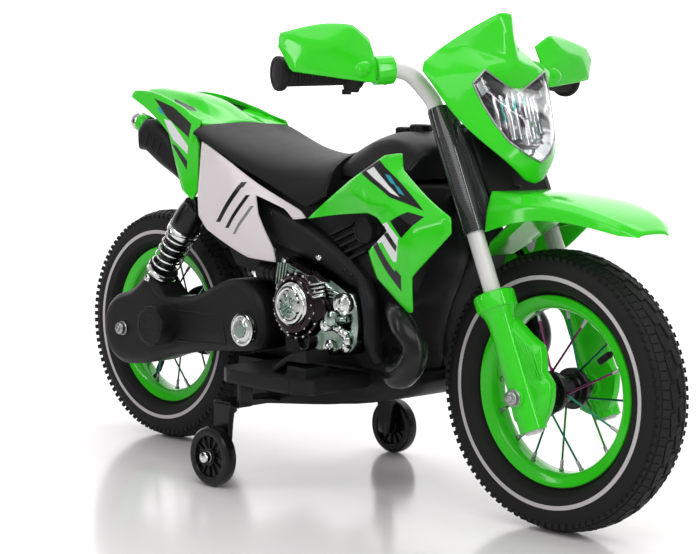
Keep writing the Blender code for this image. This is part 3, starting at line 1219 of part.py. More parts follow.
def side_panel(name):
    """The white side panel with its upper prong."""
    outline = [(0.1590, 0.4190, -0.0900), (0.2060, 0.4000, -0.0925), (0.2700, 0.3700, -0.0940), (0.3500, 0.3420, -0.0925),
               (0.3600, 0.3330, -0.0925), (0.3390, 0.3300, -0.0930), (0.3250, 0.3420, -0.0940), (0.2750, 0.3570, -0.0990),
               (0.2810, 0.3330, -0.1000), (0.2930, 0.3110, -0.0980), (0.3040, 0.2930, -0.0950), (0.3080, 0.2750, -0.0930),
               (0.2620, 0.2775, -0.0980), (0.2270, 0.2890, -0.1000), (0.1810, 0.3070, -0.0980),
               (0.1610, 0.3230, -0.0950), (0.1560, 0.3500, -0.0930), (0.1580, 0.3850, -0.0915)]
    ridge = [(0.200, 0.360, -0.1010), (0.240, 0.3250, -0.1060), (0.280, 0.2950, -0.1020), (0.235, 0.3700, -0.1000)]
    panel = relief(name, side_point, WHITE_PLASTIC, outline, ridge, wall=WALL)
    side_posts(panel, ((0.252, 0.362, -0.0985), (0.205, 0.350, -0.1005), (0.280, 0.286, -0.0995)), WHITE_PLASTIC)
    return panel


def tail_cover():
    """The green tail: a centre hump between two fins that sweep down to the panels."""
    stations = [(-0.060, 0.4840, 0.4800, 0.018), (-0.030, 0.4860, 0.4740, 0.034), (0.008, 0.4830, 0.4690, 0.0540),
                (0.048, 0.4795, 0.4650, 0.0590), (0.084, 0.4710, 0.4570, 0.0640), (0.114, 0.4570, 0.4480, 0.0700),
                (0.1412, 0.4445, 0.4410, 0.0732)]
    rings = []
    for x, hump, edge, half in stations:
        profile = [(-half, edge), (-0.55 * half, edge - 0.002), (-0.30 * half, hump - 0.002), (0.0, hump),
                   (0.30 * half, hump - 0.002), (0.55 * half, edge - 0.002), (half, edge)]
        under = [(y, z - 0.004) for y, z in reversed(profile)]
        rings.append([side_point(x, z, y) for y, z in profile + under])
    tail = loft("tail_cover", GREEN, rings, strip=True)
    outline = [(-0.036, 0.4720, -0.056), (-0.030, 0.4810, -0.053), (0.000, 0.4810, -0.055), (0.035, 0.4760, -0.059),
               (0.072, 0.4660, -0.064), (0.098, 0.4590, -0.068), (0.112, 0.4520, -0.072), (0.1395, 0.4452, -0.0745),
               (0.1405, 0.4262, -0.0850), (0.1500, 0.4150, -0.0870), (0.1500, 0.3900, -0.0875), (0.1490, 0.3540, -0.0875),
               (0.1380, 0.3415, -0.0870), (0.1140, 0.3540, -0.0855), (0.0960, 0.3870, -0.0820),
               (0.0740, 0.4262, -0.0765), (0.0200, 0.4530, -0.0640)]
    for side in (-1, 1):
        fin = relief("fin", side_point, GREEN, [(a, b, -side * h) for a, b, h in outline], (), wall=-side * 0.0035)
        join(tail, fin)
    rail_foot = block("foot", GREEN, side_point(0.064, 0.4058, -0.012), side_point(0.096, 0.462, 0.012))
    join(tail, rail_foot)
    return tail


def muffler(name):
    """A slanted can under the tail with a collar and an outlet ring."""
    side_view = [(0.092, 0.3540), (0.071, 0.3690), (0.033, 0.3830), (0.007, 0.4000), (-0.010, 0.4010), (-0.012, 0.4280),
                 (0.004, 0.4430), (0.040, 0.4360), (0.066, 0.4200), (0.086, 0.3860), (0.101, 0.3570)]
    y_outer, y_inner = -0.0660, -0.0180
    can = relief(name, side_point, BLACK_PLASTIC, [(a, b, y_outer + 0.006) for a, b in side_view],
                 [(a, b, y_outer) for a, b in inset(side_view, 0.007)], back=y_inner)
    start = side_point(-0.004, 0.4300, -0.043)
    end = side_point(-0.034, 0.4400, -0.043)
    join(can, rod("collar", BLACK_PLASTIC, start, end, 0.0125, 16))
    outlet = start + (end - start) * 0.85
    cut(can, rod("outlet", BLACK_PLASTIC, outlet, end + (end - start), 0.0095, 16))
    strap = block("strap", BLACK_PLASTIC, side_point(0.058, 0.388, -0.020), side_point(0.078, 0.401, -0.0087))
    join(can, strap)
    return can


ENGINE_FACE = 0.100


def engine_cover(name):
    """The chrome engine cover: a deep cast box with clutch and ignition domes."""
    outline = [(0.3133, 0.2461), (0.3169, 0.2629), (0.3284, 0.2850), (0.3485, 0.2800), (0.3710, 0.2745),
               (0.4023, 0.2640), (0.4293, 0.2520), (0.4490, 0.2500), (0.4560, 0.2374), (0.4605, 0.2163),
               (0.4590, 0.2000), (0.4552, 0.1916), (0.4406, 0.1767), (0.4084, 0.1727), (0.3770, 0.1770),
               (0.3512, 0.1873), (0.3307, 0.2014), (0.3159, 0.2244)]
    face = -ENGINE_FACE
    rim_points = [(a, b, face + 0.003) for a, b in outline]
    raised = [(a, b, face) for a, b in inset(outline, 0.004)]
    cover = relief(name, side_point, CHROME, rim_points, raised, back=-BODY_HALF_WIDTH - GAP)
    cut(cover, prism("room", side_point, CHROME, inset(outline, WALL), face + WALL + 0.003, -BODY_HALF_WIDTH + 0.005))
    clutch = side_point(0.3620, 0.2278, face + WALL)
    dome = [(0, 0), (0.0350, 0), (0.0350, 0.009), (0.0300, 0.016), (0.0235, 0.0165), (0.0215, 0.022), (0.013, 0.024),
            (0, 0.024)]
    join(cover, turned("clutch", CHROME, dome, clutch, (0, -1, 0), 14))
    small = side_point(0.4400, 0.2360, face + WALL)
    cap = [(0, 0), (0.0125, 0), (0.0120, 0.007), (0.008, 0.010), (0, 0.010)]
    join(cover, turned("ignition", CHROME, cap, small, (0, -1, 0), 10))
    for x, z, radius, height in ((0.4180, 0.2110, 0.0080, 0.012), (0.4140, 0.1830, 0.0060, 0.006)):
        base = side_point(x, z, face + WALL)
        join(cover, rod("screw", CHROME, base, base - SIDE * height, radius, 8))
    hole = side_point(0.3790, 0.1880, face)
    cut(cover, rod("hole", CHROME, hole - SIDE * 0.01, hole + SIDE * 0.008, 0.0070, 8))
    return cover


def battery():
    return block("battery", BATTERY_GREY, side_point(BATTERY_REAR, 0.1270, -BATTERY_HALF_WIDTH),
                 side_point(BATTERY_FRONT, 0.1872, BATTERY_HALF_WIDTH))


def accelerator_pedal():
    """The wedge pedal on the right footboard, hinged at its heel."""
    outline = [(0.3680, 0.1545), (0.3700, 0.1590), (0.3990, 0.1790), (0.4270, 0.1845), (0.4285, 0.1695), (0.3955, 0.1690),
               (0.3800, 0.1570), (0.3730, 0.1532)]
    pedal = prism("accelerator_pedal", side_point, BLACK_PLASTIC, outline, -0.1500, -0.1120)
    hinge = side_point(0.3725, 0.1565, 0)
    set_origin(pedal, hinge)
    return pedal


def training_arm(name):
    """A steel bracket from the pan with the axle bolt of its small wheel."""
    inner_y = TRAINER_Y - TRAINER_HALF_WIDTH - 0.0115
    outer_y = inner_y + 0.0085
    top = 0.1322
    foot_level = TRAINER_RADIUS - 0.009 - RIDE
    upright = prism(name, side_point, BLACK_PLASTIC,
                    [(0.258, 0.104), (0.290, 0.104), (0.284, foot_level), (0.264, foot_level)], -outer_y, -inner_y)
    shelf = block("shelf", BLACK_PLASTIC, side_point(0.258, 0.0965, -outer_y), side_point(0.290, 0.104, -PAN_HALF_WIDTH - GAP))
    stay = block("stay", BLACK_PLASTIC, side_point(0.2935, 0.0980, -inner_y), side_point(0.3000, top, -inner_y + 0.02))
    foot = block("foot", BLACK_PLASTIC, side_point(0.285, 0.0975, -inner_y), side_point(0.2975, 0.1035, -inner_y + 0.02))
    centre = Vector((TRAINER_X, 0.0, TRAINER_RADIUS))
    bolt = rod("bolt", STEEL, centre - SIDE * (inner_y + 0.002), centre - SIDE * (TRAINER_Y + TRAINER_HALF_WIDTH + 0.001),
               TRAINER_BOLT_RADIUS, 12)
    head = rod("head", STEEL, centre - SIDE * (TRAINER_Y + TRAINER_HALF_WIDTH + GAP),
               centre - SIDE * (TRAINER_Y + TRAINER_HALF_WIDTH + 0.0045), 0.0068, 12)
    join(upright, shelf, foot, stay, bolt, head)
    return upright


def training_wheel(name):
    """A small spoked plastic wheel."""
    outer = TRAINER_RADIUS / math.cos(math.pi / TRAINER_STEPS)
    half = TRAINER_HALF_WIDTH
    bore = TRAINER_BOLT_RADIUS + RUNNING_GAP
    side = [(bore, half), (0.0100, half), (0.0115, half - 0.005), (0.025, half - 0.005), (0.0275, half),
            (outer, half - 0.002)]
    profile = side + [(r, -y) for r, y in reversed(side)]
    return turned(name, RUBBER, profile, (TRAINER_X, -TRAINER_Y, TRAINER_RADIUS), steps=TRAINER_STEPS, ring=True)


# Assembly

def clear_scene():
    for thing in list(bpy.data.objects):
        bpy.data.objects.remove(thing)


def both_sides(make, name, *values):
    """A right-hand piece and its left-hand mirror image."""
    right = make(name + "_R", *values)
    return right, mirrored(right, name + "_L")


def build_wheels():
    for label, axle, half, in (("front", FRONT_AXLE, FRONT_HUB_HALF), ("rear", REAR_AXLE, REAR_HUB_HALF)):
        for piece in (tyre(label + "_tyre", axle), rim(label + "_rim", axle),
                      hub_with_spokes(label + "_hub_and_spokes", axle, half)):
            set_origin(piece, axle)
    axle_bolt("front_axle", FRONT_AXLE, FRONT_HUB_HALF, FORK_HALF_SPREAD + 0.0165 + GAP)
    axle_bolt("rear_axle", REAR_AXLE, REAR_HUB_HALF, CASING_OUTER_Y - 0.003 + GAP)
    set_origin(wheel_gear(), REAR_AXLE)


def build_swingarm():
    right = swingarm_casing("swingarm_casing_R", True)
    left = mirrored(swingarm_casing("spare", False), "swingarm_casing_L")
    bpy.data.objects.remove(bpy.data.objects["spare"])
    for piece in (right, left, gearcase_cover(), drive_motor()):
        set_origin(piece, PIVOT)
    drive_pinion()
    pivot_bolt()
    for piece in both_sides(shock_lower, "shock_lower") + both_sides(shock_upper, "shock_upper"):
        set_origin(piece, Vector((SHOCK_UPPER.x, 0, SHOCK_UPPER.z)))
    both_sides(shock_spring, "shock_spring")


def build_front():
    pieces = list(both_sides(fork_tube, "fork_tube"))
    pieces += both_sides(fork_lower_cover, "fork_lower_cover")
    pieces += both_sides(fork_upper_cover, "fork_upper_cover")
    pieces += [steering_stem(), front_fender(), headlight_mask(), headlight_lens(), headlight_reflector(),
               mask_back_cover()]
    pieces += both_sides(hand_guard, "hand_guard")
    right_grip = grip("grip_R", True)
    left_grip = mirrored(grip("spare", False), "grip_L")
    bpy.data.objects.remove(bpy.data.objects["spare"])
    pieces += [right_grip, left_grip, horn_button()]
    for piece in pieces:
        set_origin(piece, stem_point(0))


def build_body():
    main_frame()
    both_sides(body_shell, "body_shell")
    floor_pan()
    seat()
    tank_cover()
    power_switch()
    both_sides(tank_shroud, "tank_shroud")
    both_sides(side_panel, "side_panel")
    tail_cover()
    both_sides(muffler, "muffler")
    both_sides(engine_cover, "engine_cover")
    battery()
    accelerator_pedal()
    both_sides(training_arm, "training_arm")
    for wheel in both_sides(training_wheel, "training_wheel"):
        side = -1 if wheel.name.endswith("R") else 1
        set_origin(wheel, (TRAINER_X, side * TRAINER_Y, TRAINER_RADIUS))


def main():
    clear_scene()
    build_wheels()
    build_swingarm()
    build_front()
    build_body()


main()
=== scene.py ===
"""Finished looks of the kids ride-on motorcycle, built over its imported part.

Metres. +X points forward, +Y to the rider's left, +Z up, with the origin under the rear tyre.
"""
import json
import math
from math import radians

import bpy
from mathutils import Matrix, Vector

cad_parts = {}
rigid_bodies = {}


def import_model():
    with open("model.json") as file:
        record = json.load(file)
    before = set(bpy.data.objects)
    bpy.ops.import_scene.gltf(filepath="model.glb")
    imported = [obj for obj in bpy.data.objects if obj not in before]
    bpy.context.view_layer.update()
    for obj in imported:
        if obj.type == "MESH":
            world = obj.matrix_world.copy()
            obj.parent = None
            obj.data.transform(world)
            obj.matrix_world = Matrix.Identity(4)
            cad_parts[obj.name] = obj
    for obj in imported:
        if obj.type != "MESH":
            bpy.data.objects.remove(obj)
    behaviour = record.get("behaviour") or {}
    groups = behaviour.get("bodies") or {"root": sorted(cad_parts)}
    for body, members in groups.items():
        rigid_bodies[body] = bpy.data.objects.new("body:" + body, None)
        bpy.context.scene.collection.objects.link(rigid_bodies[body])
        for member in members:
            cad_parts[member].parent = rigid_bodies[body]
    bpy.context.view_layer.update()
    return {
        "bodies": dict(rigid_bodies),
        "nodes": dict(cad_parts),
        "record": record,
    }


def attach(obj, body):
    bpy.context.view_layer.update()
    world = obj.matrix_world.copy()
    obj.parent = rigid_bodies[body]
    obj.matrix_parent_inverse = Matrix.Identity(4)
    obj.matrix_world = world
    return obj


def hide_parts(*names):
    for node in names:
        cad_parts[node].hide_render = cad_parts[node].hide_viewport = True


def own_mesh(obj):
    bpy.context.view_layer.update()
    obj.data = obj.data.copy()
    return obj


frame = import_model()

FRONT_AXLE = Vector((0.688, 0.0, 0.159))
REAR_AXLE = Vector((0.0, 0.0, 0.159))
SIDE = Vector((0.0, 1.0, 0.0))
BODY_OF = {node: body for body, nodes in frame["record"]["behaviour"]["bodies"].items() for node in nodes}

# The photo's camera: yaw, pitch and roll in degrees, then lens, shift and place
CAMERA_TURN = (44.8711, 5.0629, 1.2786)
CAMERA_SENSOR = 36.0
CAMERA_LENS = 90.906
CAMERA_SHIFT = (-0.03509, -0.04823)
CAMERA_PLACE = (1.9137, -1.5354, 0.4923)

LIME = (0.034, 0.64, 0.014, 1.0)
SHELL_WHITE = (0.74, 0.68, 0.7, 1.0)
SHELL_BLACK = (0.01, 0.01, 0.011, 1.0)
TRIM_BLACK = (0.006, 0.006, 0.007, 1.0)
TRIM_GREY = (0.19, 0.2, 0.21, 1.0)
TRIM_PALE = (0.74, 0.75, 0.76, 1.0)
TRIM_TEAL = (0.015, 0.3, 0.36, 1.0)
FLAG_BLACK = (0.02, 0.02, 0.02)

# The materials by their short names, filled by make_finishes
LOOKS = {}


# Camera, floor and light

def linked(name, data):
    """A new object in the scene."""
    thing = bpy.data.objects.new(name, data)
    bpy.context.scene.collection.objects.link(thing)
    return thing


def set_camera():
    yaw, pitch, roll = (radians(v) for v in CAMERA_TURN)
    back = Vector((math.sin(yaw) * math.cos(pitch), -math.cos(yaw) * math.cos(pitch), math.sin(pitch)))
    right = Vector((math.cos(yaw), math.sin(yaw), 0.0))
    up = back.cross(right)
    turned_right = right * math.cos(roll) + up * math.sin(roll)
    turned_up = -right * math.sin(roll) + up * math.cos(roll)
    lens = bpy.data.cameras.new("camera")
    lens.sensor_width = CAMERA_SENSOR
    lens.lens = CAMERA_LENS
    lens.shift_x, lens.shift_y = CAMERA_SHIFT
    lens.clip_start = 0.05
    camera = linked("camera", lens)
    place = Matrix((turned_right, turned_up, back)).transposed().to_4x4()
    place.translation = Vector(CAMERA_PLACE)
    camera.matrix_world = place
    bpy.context.scene.camera = camera


def soft_light(name, place, target, size, power):
    lamp = bpy.data.lights.new(name, "AREA")
    lamp.shape = "RECTANGLE"
    lamp.size, lamp.size_y = size
    lamp.energy = power
    light = linked(name, lamp)
    light.location = place
    light.rotation_euler = (Vector(target) - Vector(place)).to_track_quat("-Z", "Y").to_euler()


def flat_sheet(name, size, place, turn, colour, rough, glow=0.0):
    """A plain sheet of the studio: the floor, the white wall or a black flag that the camera doesn't see."""
    deselect()
    bpy.ops.mesh.primitive_plane_add(size=size, location=place, rotation=[radians(v) for v in turn])
    sheet = settle(bpy.context.active_object)
    sheet.name = name
    paint, tree, shader, _ = start_material(name + "_paint")
    feed(tree, shader, {"Base Color": colour + (1.0,), "Roughness": rough, "Specular IOR Level": 0.4})
    if glow:
        feed(tree, shader, {"Emission Color": colour + (1.0,), "Emission Strength": glow})
    sheet.data.materials.append(paint)
    sheet.visible_camera = not name.endswith("flag")


def set_stage():
    scene = bpy.context.scene
    scene.view_settings.view_transform = "Standard"
    world = bpy.data.worlds.new("studio")
    world.use_nodes = True
    air = world.node_tree.nodes["Background"]
    air.inputs["Color"].default_value = (1.0, 0.995, 0.99, 1.0)
    air.inputs["Strength"].default_value = 0.5
    scene.world = world
    soft_light("key", (1.7, -1.6, 2.3), (0.3, 0.0, 0.25), (2.6, 1.8), 30.0)
    soft_light("tall", (2.1, -0.15, 0.9), (0.6, 0.0, 0.3), (0.14, 1.5), 6.0)
    soft_light("left", (-0.9, -1.9, 1.2), (0.2, 0.0, 0.25), (0.2, 1.6), 7.0)
    soft_light("top", (0.1, 0.6, 2.4), (0.3, 0.0, 0.3), (2.4, 2.4), 26.0)
    flat_sheet("floor", 80.0, (0.35, 0.0, 0.0), (0.0, 0.0, 0.0), (0.86, 0.825, 0.84), 0.16)
    flat_sheet("backdrop", 60.0, (-18.0, 18.0, 10.0), (90.0, 0.0, 45.0), (1.0, 1.0, 1.0), 0.9, 1.0)
    flat_sheet("rear_flag", 2.0, (-2.3, -2.6, 0.55), (90.0, 0.0, -45.0), FLAG_BLACK, 0.9)
    flat_sheet("front_flag", 1.7, (3.1, 1.6, 0.55), (90.0, 0.0, 60.0), FLAG_BLACK, 0.9)


# Hand work on a mesh

def drawn(route):
    """A route's points as tuples in metres; one given as text is in millimetres."""
    if not isinstance(route, str):
        return route
    return [tuple(round(float(word) / 1000.0, 7) for word in point.split()) for point in route.split(",")]


def sides_of(name):
    """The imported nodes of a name: itself, or its right and left one."""
    return (name,) if name in frame["nodes"] else (name + "_R", name + "_L")


def deselect():
    if bpy.context.mode != "OBJECT":
        bpy.ops.object.mode_set(mode="OBJECT")
    bpy.ops.object.select_all(action="DESELECT")


def hold(piece):
    """Makes one piece the only selected one."""
    deselect()
    piece.hide_viewport = False
    piece.select_set(True)
    bpy.context.view_layer.objects.active = piece


def open_mesh(action="SELECT"):
    """Goes into the held piece's mesh, with all of it selected or none."""
    bpy.ops.object.mode_set(mode="EDIT")
    bpy.ops.mesh.select_all(action=action)


def close_mesh():
    bpy.ops.object.mode_set(mode="OBJECT")


def settle(piece):
    """Puts the piece's place, turn and size into its mesh."""
    hold(piece)
    bpy.ops.object.transform_apply(location=True, rotation=True, scale=True)
    return piece


def bake(piece):
    hold(piece)
    for step in list(piece.modifiers):
        bpy.ops.object.modifier_apply(modifier=step.name)
    return piece


def smooth(piece, degrees=38.0):
    hold(piece)
    bpy.ops.object.shade_smooth_by_angle(angle=radians(degrees))
    return piece


def bevelled(piece, width, segments=2, degrees=30.0):
    step = piece.modifiers.new("edge", "BEVEL")
    step.width = width
    step.segments = segments
    step.limit_method = "ANGLE"
    step.angle_limit = radians(degrees)
    return bake(piece)


def joined(name, pieces):
    deselect()
    for piece in pieces:
        piece.select_set(True)
    bpy.context.view_layer.objects.active = pieces[0]
    if len(pieces) > 1:
        bpy.ops.object.join()
    whole = bpy.context.active_object
    whole.name = name
    whole.data.name = name
    return whole


def there_and_back(profile):
    """The profile, its mirror image behind it, and its first point again."""
    return profile + [(r, -y) for r, y in reversed(profile)] + [profile[0]]


def lathe(name, profile, centre, axis, steps=64):
    """Spins a route of radius and distance along the axis into a round piece."""
    axis = Vector(axis).normalized()
    out = axis.orthogonal().normalized()
    points = [Vector(centre) + out * radius + axis * along for radius, along in drawn(profile)]
    deselect()
    bpy.ops.mesh.primitive_plane_add(size=0.001, location=points[0])
    piece = bpy.context.active_object
    open_mesh()
    bpy.ops.mesh.merge(type="CENTER")
    for first, second in zip(points, points[1:]):
        bpy.ops.mesh.extrude_vertices_move(TRANSFORM_OT_translate={"value": second - first})
    bpy.ops.mesh.select_all(action="SELECT")
    bpy.ops.mesh.spin(steps=steps, angle=2.0 * math.pi, center=Vector(centre), axis=axis)
    bpy.ops.mesh.select_all(action="SELECT")
    bpy.ops.mesh.remove_doubles(threshold=0.000008)
    bpy.ops.mesh.normals_make_consistent(inside=False)
    close_mesh()
    piece.name = name
    piece.data.name = name
    settle(piece)
    return smooth(piece)


def bar(name, start, end, radius, sides=16, edge=0.0):
    """A round bar between two points, with its ends broken."""
    start, end = Vector(start), Vector(end)
    way = end - start
    deselect()
    bpy.ops.mesh.primitive_cylinder_add(vertices=sides, radius=radius, depth=way.length,
        location=(start + end) / 2, rotation=way.to_track_quat("Z", "Y").to_euler())
    piece = settle(bpy.context.active_object)
    piece.name = name
    if edge:
        bevelled(piece, edge, 2)
    return smooth(piece)


def chain(name, points, radius, sides, edge):
    """Bars from each point to the next."""
    return [bar(name, first, second, radius, sides, edge) for first, second in zip(points, points[1:])]


def tube(name, route, radius, steps=8):
    """A round pipe along a soft line through the route's points."""
    line = bpy.data.curves.new(name, "CURVE")
    line.dimensions = "3D"
    line.resolution_u = steps
    line.bevel_depth = radius
    line.bevel_resolution = 5
    line.use_fill_caps = True
    places = drawn(route)
    path = line.splines.new("BEZIER")
    path.bezier_points.add(len(places) - 1)
    for knot, place in zip(path.bezier_points, places):
        knot.co = Vector(place)
        knot.handle_left_type = knot.handle_right_type = "AUTO"
    hold(linked(name, line))
    bpy.ops.object.convert(target="MESH")
    piece = bpy.context.active_object
    piece.name = name
    return smooth(piece, 50.0)


def brick(name, centre, size, turn=(0.0, 0.0, 0.0), taper=1.0, edge=0.0005):
    """A small block, turned by degrees, with a drawn-in top and broken edges."""
    deselect()
    bpy.ops.mesh.primitive_cube_add(size=1.0, location=centre, rotation=[radians(v) for v in turn],
        scale=size)
    piece = bpy.context.active_object
    if taper != 1.0:
        for corner in piece.data.vertices:
            if corner.co.z > 0:
                corner.co.x *= taper
                corner.co.y *= taper
    settle(piece)
    piece.name = name
    if edge:
        bevelled(piece, edge, 1)
    return piece


def copied(piece, place):
    """The same shape again, moved by a matrix, with a mesh of its own."""
    twin = linked(piece.name, piece.data.copy())
    twin.data.transform(place)
    return twin


def ringed(piece, centre, axis, count, start=0.0):
    """Copies of a piece all round an axis."""
    centre = Vector(centre)
    step = 2.0 * math.pi / count
    there, back = Matrix.Translation(centre), Matrix.Translation(-centre)
    twins = [copied(piece, there @ Matrix.Rotation(start + step * k, 4, Vector(axis)) @ back)
        for k in range(count)]
    bpy.data.objects.remove(piece)
    return twins


def mirrored(piece, name):
    """The left-hand twin of a right-hand piece."""
    twin = copied(piece, Matrix.Scale(-1.0, 4, SIDE))
    twin.name = name
    hold(twin)
    open_mesh()
    bpy.ops.mesh.flip_normals()
    close_mesh()
    return twin


def nudge(piece, place, reach, shift):
    """Pulls the corners near a place, and those opposite them, by hand."""
    for corner in piece.data.vertices:
        for side in (1.0, -1.0):
            if (corner.co - Vector((place[0], side * place[1], place[2]))).length < reach:
                corner.co += Vector((shift[0], side * shift[1], shift[2]))
                break


def heal(piece, x, z, out, reach=0.0062, depth=0.0024):
    """Closes the ring that a post leaves on a panel's outside."""
    hold(piece)
    found = 0
    for corner in piece.data.vertices:
        near = math.hypot(corner.co.x - x, corner.co.z - z) < reach and abs(abs(corner.co.y) - out) < depth
        corner.select = near
        found += near
    for part in (*piece.data.edges, *piece.data.polygons):
        part.select = False
    if found < 2:
        return
    bpy.ops.object.mode_set(mode="EDIT")
    bpy.ops.mesh.select_mode(type="VERT")
    bpy.ops.mesh.merge(type="CENTER")
    close_mesh()


def moulded(node, levels=2, degrees=20.0, nudges=(), healed=()):
    """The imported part's own shape, merged and rounded as a moulding is."""
    piece = linked(node + "_skin", frame["nodes"][node].data.copy())
    hold(piece)
    open_mesh()
    bpy.ops.mesh.remove_doubles(threshold=0.00002)
    close_mesh()
    for place, reach, shift in nudges:
        nudge(piece, place, reach, shift)
    for x, z, out in healed:
        heal(piece, x, z, out)
    open_mesh()
    bpy.ops.mesh.tris_convert_to_quads(face_threshold=radians(25), shape_threshold=radians(50))
    bpy.ops.mesh.select_all(action="DESELECT")
    bpy.ops.mesh.select_mode(type="EDGE")
    bpy.ops.mesh.edges_select_sharp(sharpness=radians(degrees))
    bpy.ops.transform.edge_crease(value=0.93)
    bpy.ops.mesh.select_mode(type="VERT")
    close_mesh()
    if levels:
        step = piece.modifiers.new("round", "SUBSURF")
        step.levels = levels
        step.render_levels = levels
        bake(piece)
    piece.data.materials.clear()
    smooth(piece, 34.0)
    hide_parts(node)
    return piece


def finish_piece(piece, look, body, *nodes):
    """Gives a piece its material and the body that it moves with."""
    piece.data.materials.clear()
    piece.data.materials.append(LOOKS[look])
    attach(piece, body)
    if nodes:
        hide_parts(*nodes)
    return piece


def pair(piece, name, look, body, *nodes):
    """Finishes a right-hand piece, or a list of them as one, and its left twin on its own side's body."""
    if isinstance(piece, list):
        piece = joined(name, piece)
    left = mirrored(piece, name + "_L")
    piece.name = name + "_R"
    for one, side in ((piece, "_R"), (left, "_L")):
        home = body + side if body + side in frame["bodies"] else body
        finish_piece(one, look, home, *[node + side for node in nodes])
    return piece, left


def round_pair(name, look, body, *shape):
    """A lathed piece on each side; its shape is what lathe takes after the name."""
    pair(lathe(name, *shape), name, look, body)


# Effects that several materials share

def feed(tree, node, inputs):
    """Gives each input of a node its value, or a link where that is a socket."""
    for key, value in inputs.items():
        if isinstance(value, bpy.types.NodeSocket):
            tree.links.new(value, node.inputs[key])
        else:
            node.inputs[key].default_value = value
    return node


def node_of(tree, kind, inputs, **settings):
    """A new shader node; its settings come before its inputs."""
    node = tree.nodes.new("ShaderNode" + kind)
    for key, value in settings.items():
        setattr(node, key, value)
    return feed(tree, node, inputs).outputs


def maths(tree, operation, *values):
    return node_of(tree, "Math", dict(enumerate(values)), operation=operation)["Value"]


def vectors(tree, operation, *values, out="Vector"):
    return node_of(tree, "VectorMath", dict(enumerate(values)), operation=operation)[out]


def noise(tree, place, scale, detail, roughness):
    inputs = {"Vector": place, "Scale": scale, "Detail": detail, "Roughness": roughness}
    return node_of(tree, "TexNoise", inputs)["Fac"]


def ramp(tree, value, low, high):
    """0 where the value is low, 1 where it is high."""
    return node_of(tree, "MapRange", {"Value": value, "From Min": low, "From Max": high})["Result"]


def between(tree, value, low, high):
    """From low to high as the value goes from 0 to 1."""
    return node_of(tree, "MapRange", {"Value": value, "To Min": low, "To Max": high})["Result"]


def blend_colour(tree, mask, below, above):
    """A colour socket: below where the mask is 0, above where it is 1."""
    return node_of(tree, "Mix", {0: mask, 6: below, 7: above}, data_type="RGBA")[2]


def new_group(name, numbers, outputs):
    """An empty group that takes a place and some numbers and gives some numbers."""
    group = bpy.data.node_groups.new(name, "ShaderNodeTree")
    group.interface.new_socket("Place", in_out="INPUT", socket_type="NodeSocketVector")
    for label, value in numbers.items():
        socket = group.interface.new_socket(label, in_out="INPUT", socket_type="NodeSocketFloat")
        socket.default_value = value
    for label in outputs:
        group.interface.new_socket(label, in_out="OUTPUT", socket_type="NodeSocketFloat")
    return group, group.nodes.new("NodeGroupInput").outputs, group.nodes.new("NodeGroupOutput")


def build_skin_group():
    """Fine grain with slow swells, as on moulded plastic: a height and a patch mask."""
    numbers = {"Grain": 900.0, "Grain Share": 0.5, "Swell": 14.0}
    group, take, give = new_group("moulded_skin", numbers, ("Height", "Patches"))
    grain = noise(group, take["Place"], take["Grain"], 2.0, 0.5)
    swell = noise(group, take["Place"], take["Swell"], 1.0, 0.5)
    height = node_of(group, "Mix", {0: take["Grain Share"], 2: swell, 3: grain}, data_type="FLOAT")[0]
    patch = noise(group, take["Place"], 38.0, 5.0, 0.62)
    feed(group, give, {"Height": height, "Patches": maths(group, "SMOOTH_MIN", patch, 0.78, 0.2)})
    return group


def build_scuff_group():
    """Hair-fine handling marks: a mask of short scratches."""
    group, take, give = new_group("handling_marks", {"Fineness": 60.0}, ("Marks",))
    stretched = vectors(group, "MULTIPLY", take["Place"], (0.12, 1.0, 1.6))
    lines = noise(group, stretched, take["Fineness"], 6.0, 0.75)
    feed(group, give, {"Marks": ramp(group, lines, 0.6, 0.72)})
    return group


SKIN = build_skin_group()
MARKS = build_scuff_group()


def start_material(name):
    look = bpy.data.materials.new(name)
    look.use_nodes = True
    tree = look.node_tree
    place = tree.nodes.new("ShaderNodeTexCoord").outputs["Object"]
    return look, tree, tree.nodes["Principled BSDF"], place


def plastic(name, colour, rough, grain, share=0.3, depth=0.00004, strength=0.25, shade=0.9, metallic=0.0,
        coat=0.0, specular=0.5, marks=0.1):
    """A moulded finish: colour with faint mottling, grain, swells and handling marks."""
    look, tree, shader, place = start_material(name)
    skin = node_of(tree, "Group", {"Place": place, "Grain": grain, "Grain Share": share}, node_tree=SKIN)
    scuff = node_of(tree, "Group", {"Place": place}, node_tree=MARKS)
    darker = tuple(c * shade for c in colour[:3]) + (1.0,)
    base = blend_colour(tree, skin["Patches"], darker, colour)
    worn = maths(tree, "MULTIPLY_ADD", scuff["Marks"], marks, between(tree, skin["Patches"], *rough))
    bump = node_of(tree, "Bump", {"Strength": strength, "Distance": depth, "Height": skin["Height"]})
    feed(tree, shader, {"Base Color": base, "Roughness": worn, "Normal": bump["Normal"],
        "Metallic": metallic, "Coat Weight": coat, "Coat Roughness": 0.05, "Specular IOR Level": specular})
    return look, tree, shader, place, base


def side_of(tree, place, first, second, soft=0.00035):
    """1 on the left of a line drawn in side view, from first to second."""
    way = Vector((second[0] - first[0], second[1] - first[1]))
    normal = Vector((-way.y, way.x)).normalized()
    offset = normal.x * first[0] + normal.y * first[1]
    reach = vectors(tree, "DOT_PRODUCT", place, (normal.x, 0.0, normal.y), out="Value")
    return ramp(tree, reach, offset - soft, offset + soft)


def patch_mask(tree, place, corners):
    """1 inside a convex shape drawn anticlockwise in side view, as (x, z)."""
    mask = None
    for first, second in zip(corners, corners[1:] + corners[:1]):
        edge = side_of(tree, place, first, second)
        mask = edge if mask is None else maths(tree, "MULTIPLY", mask, edge)
    return mask


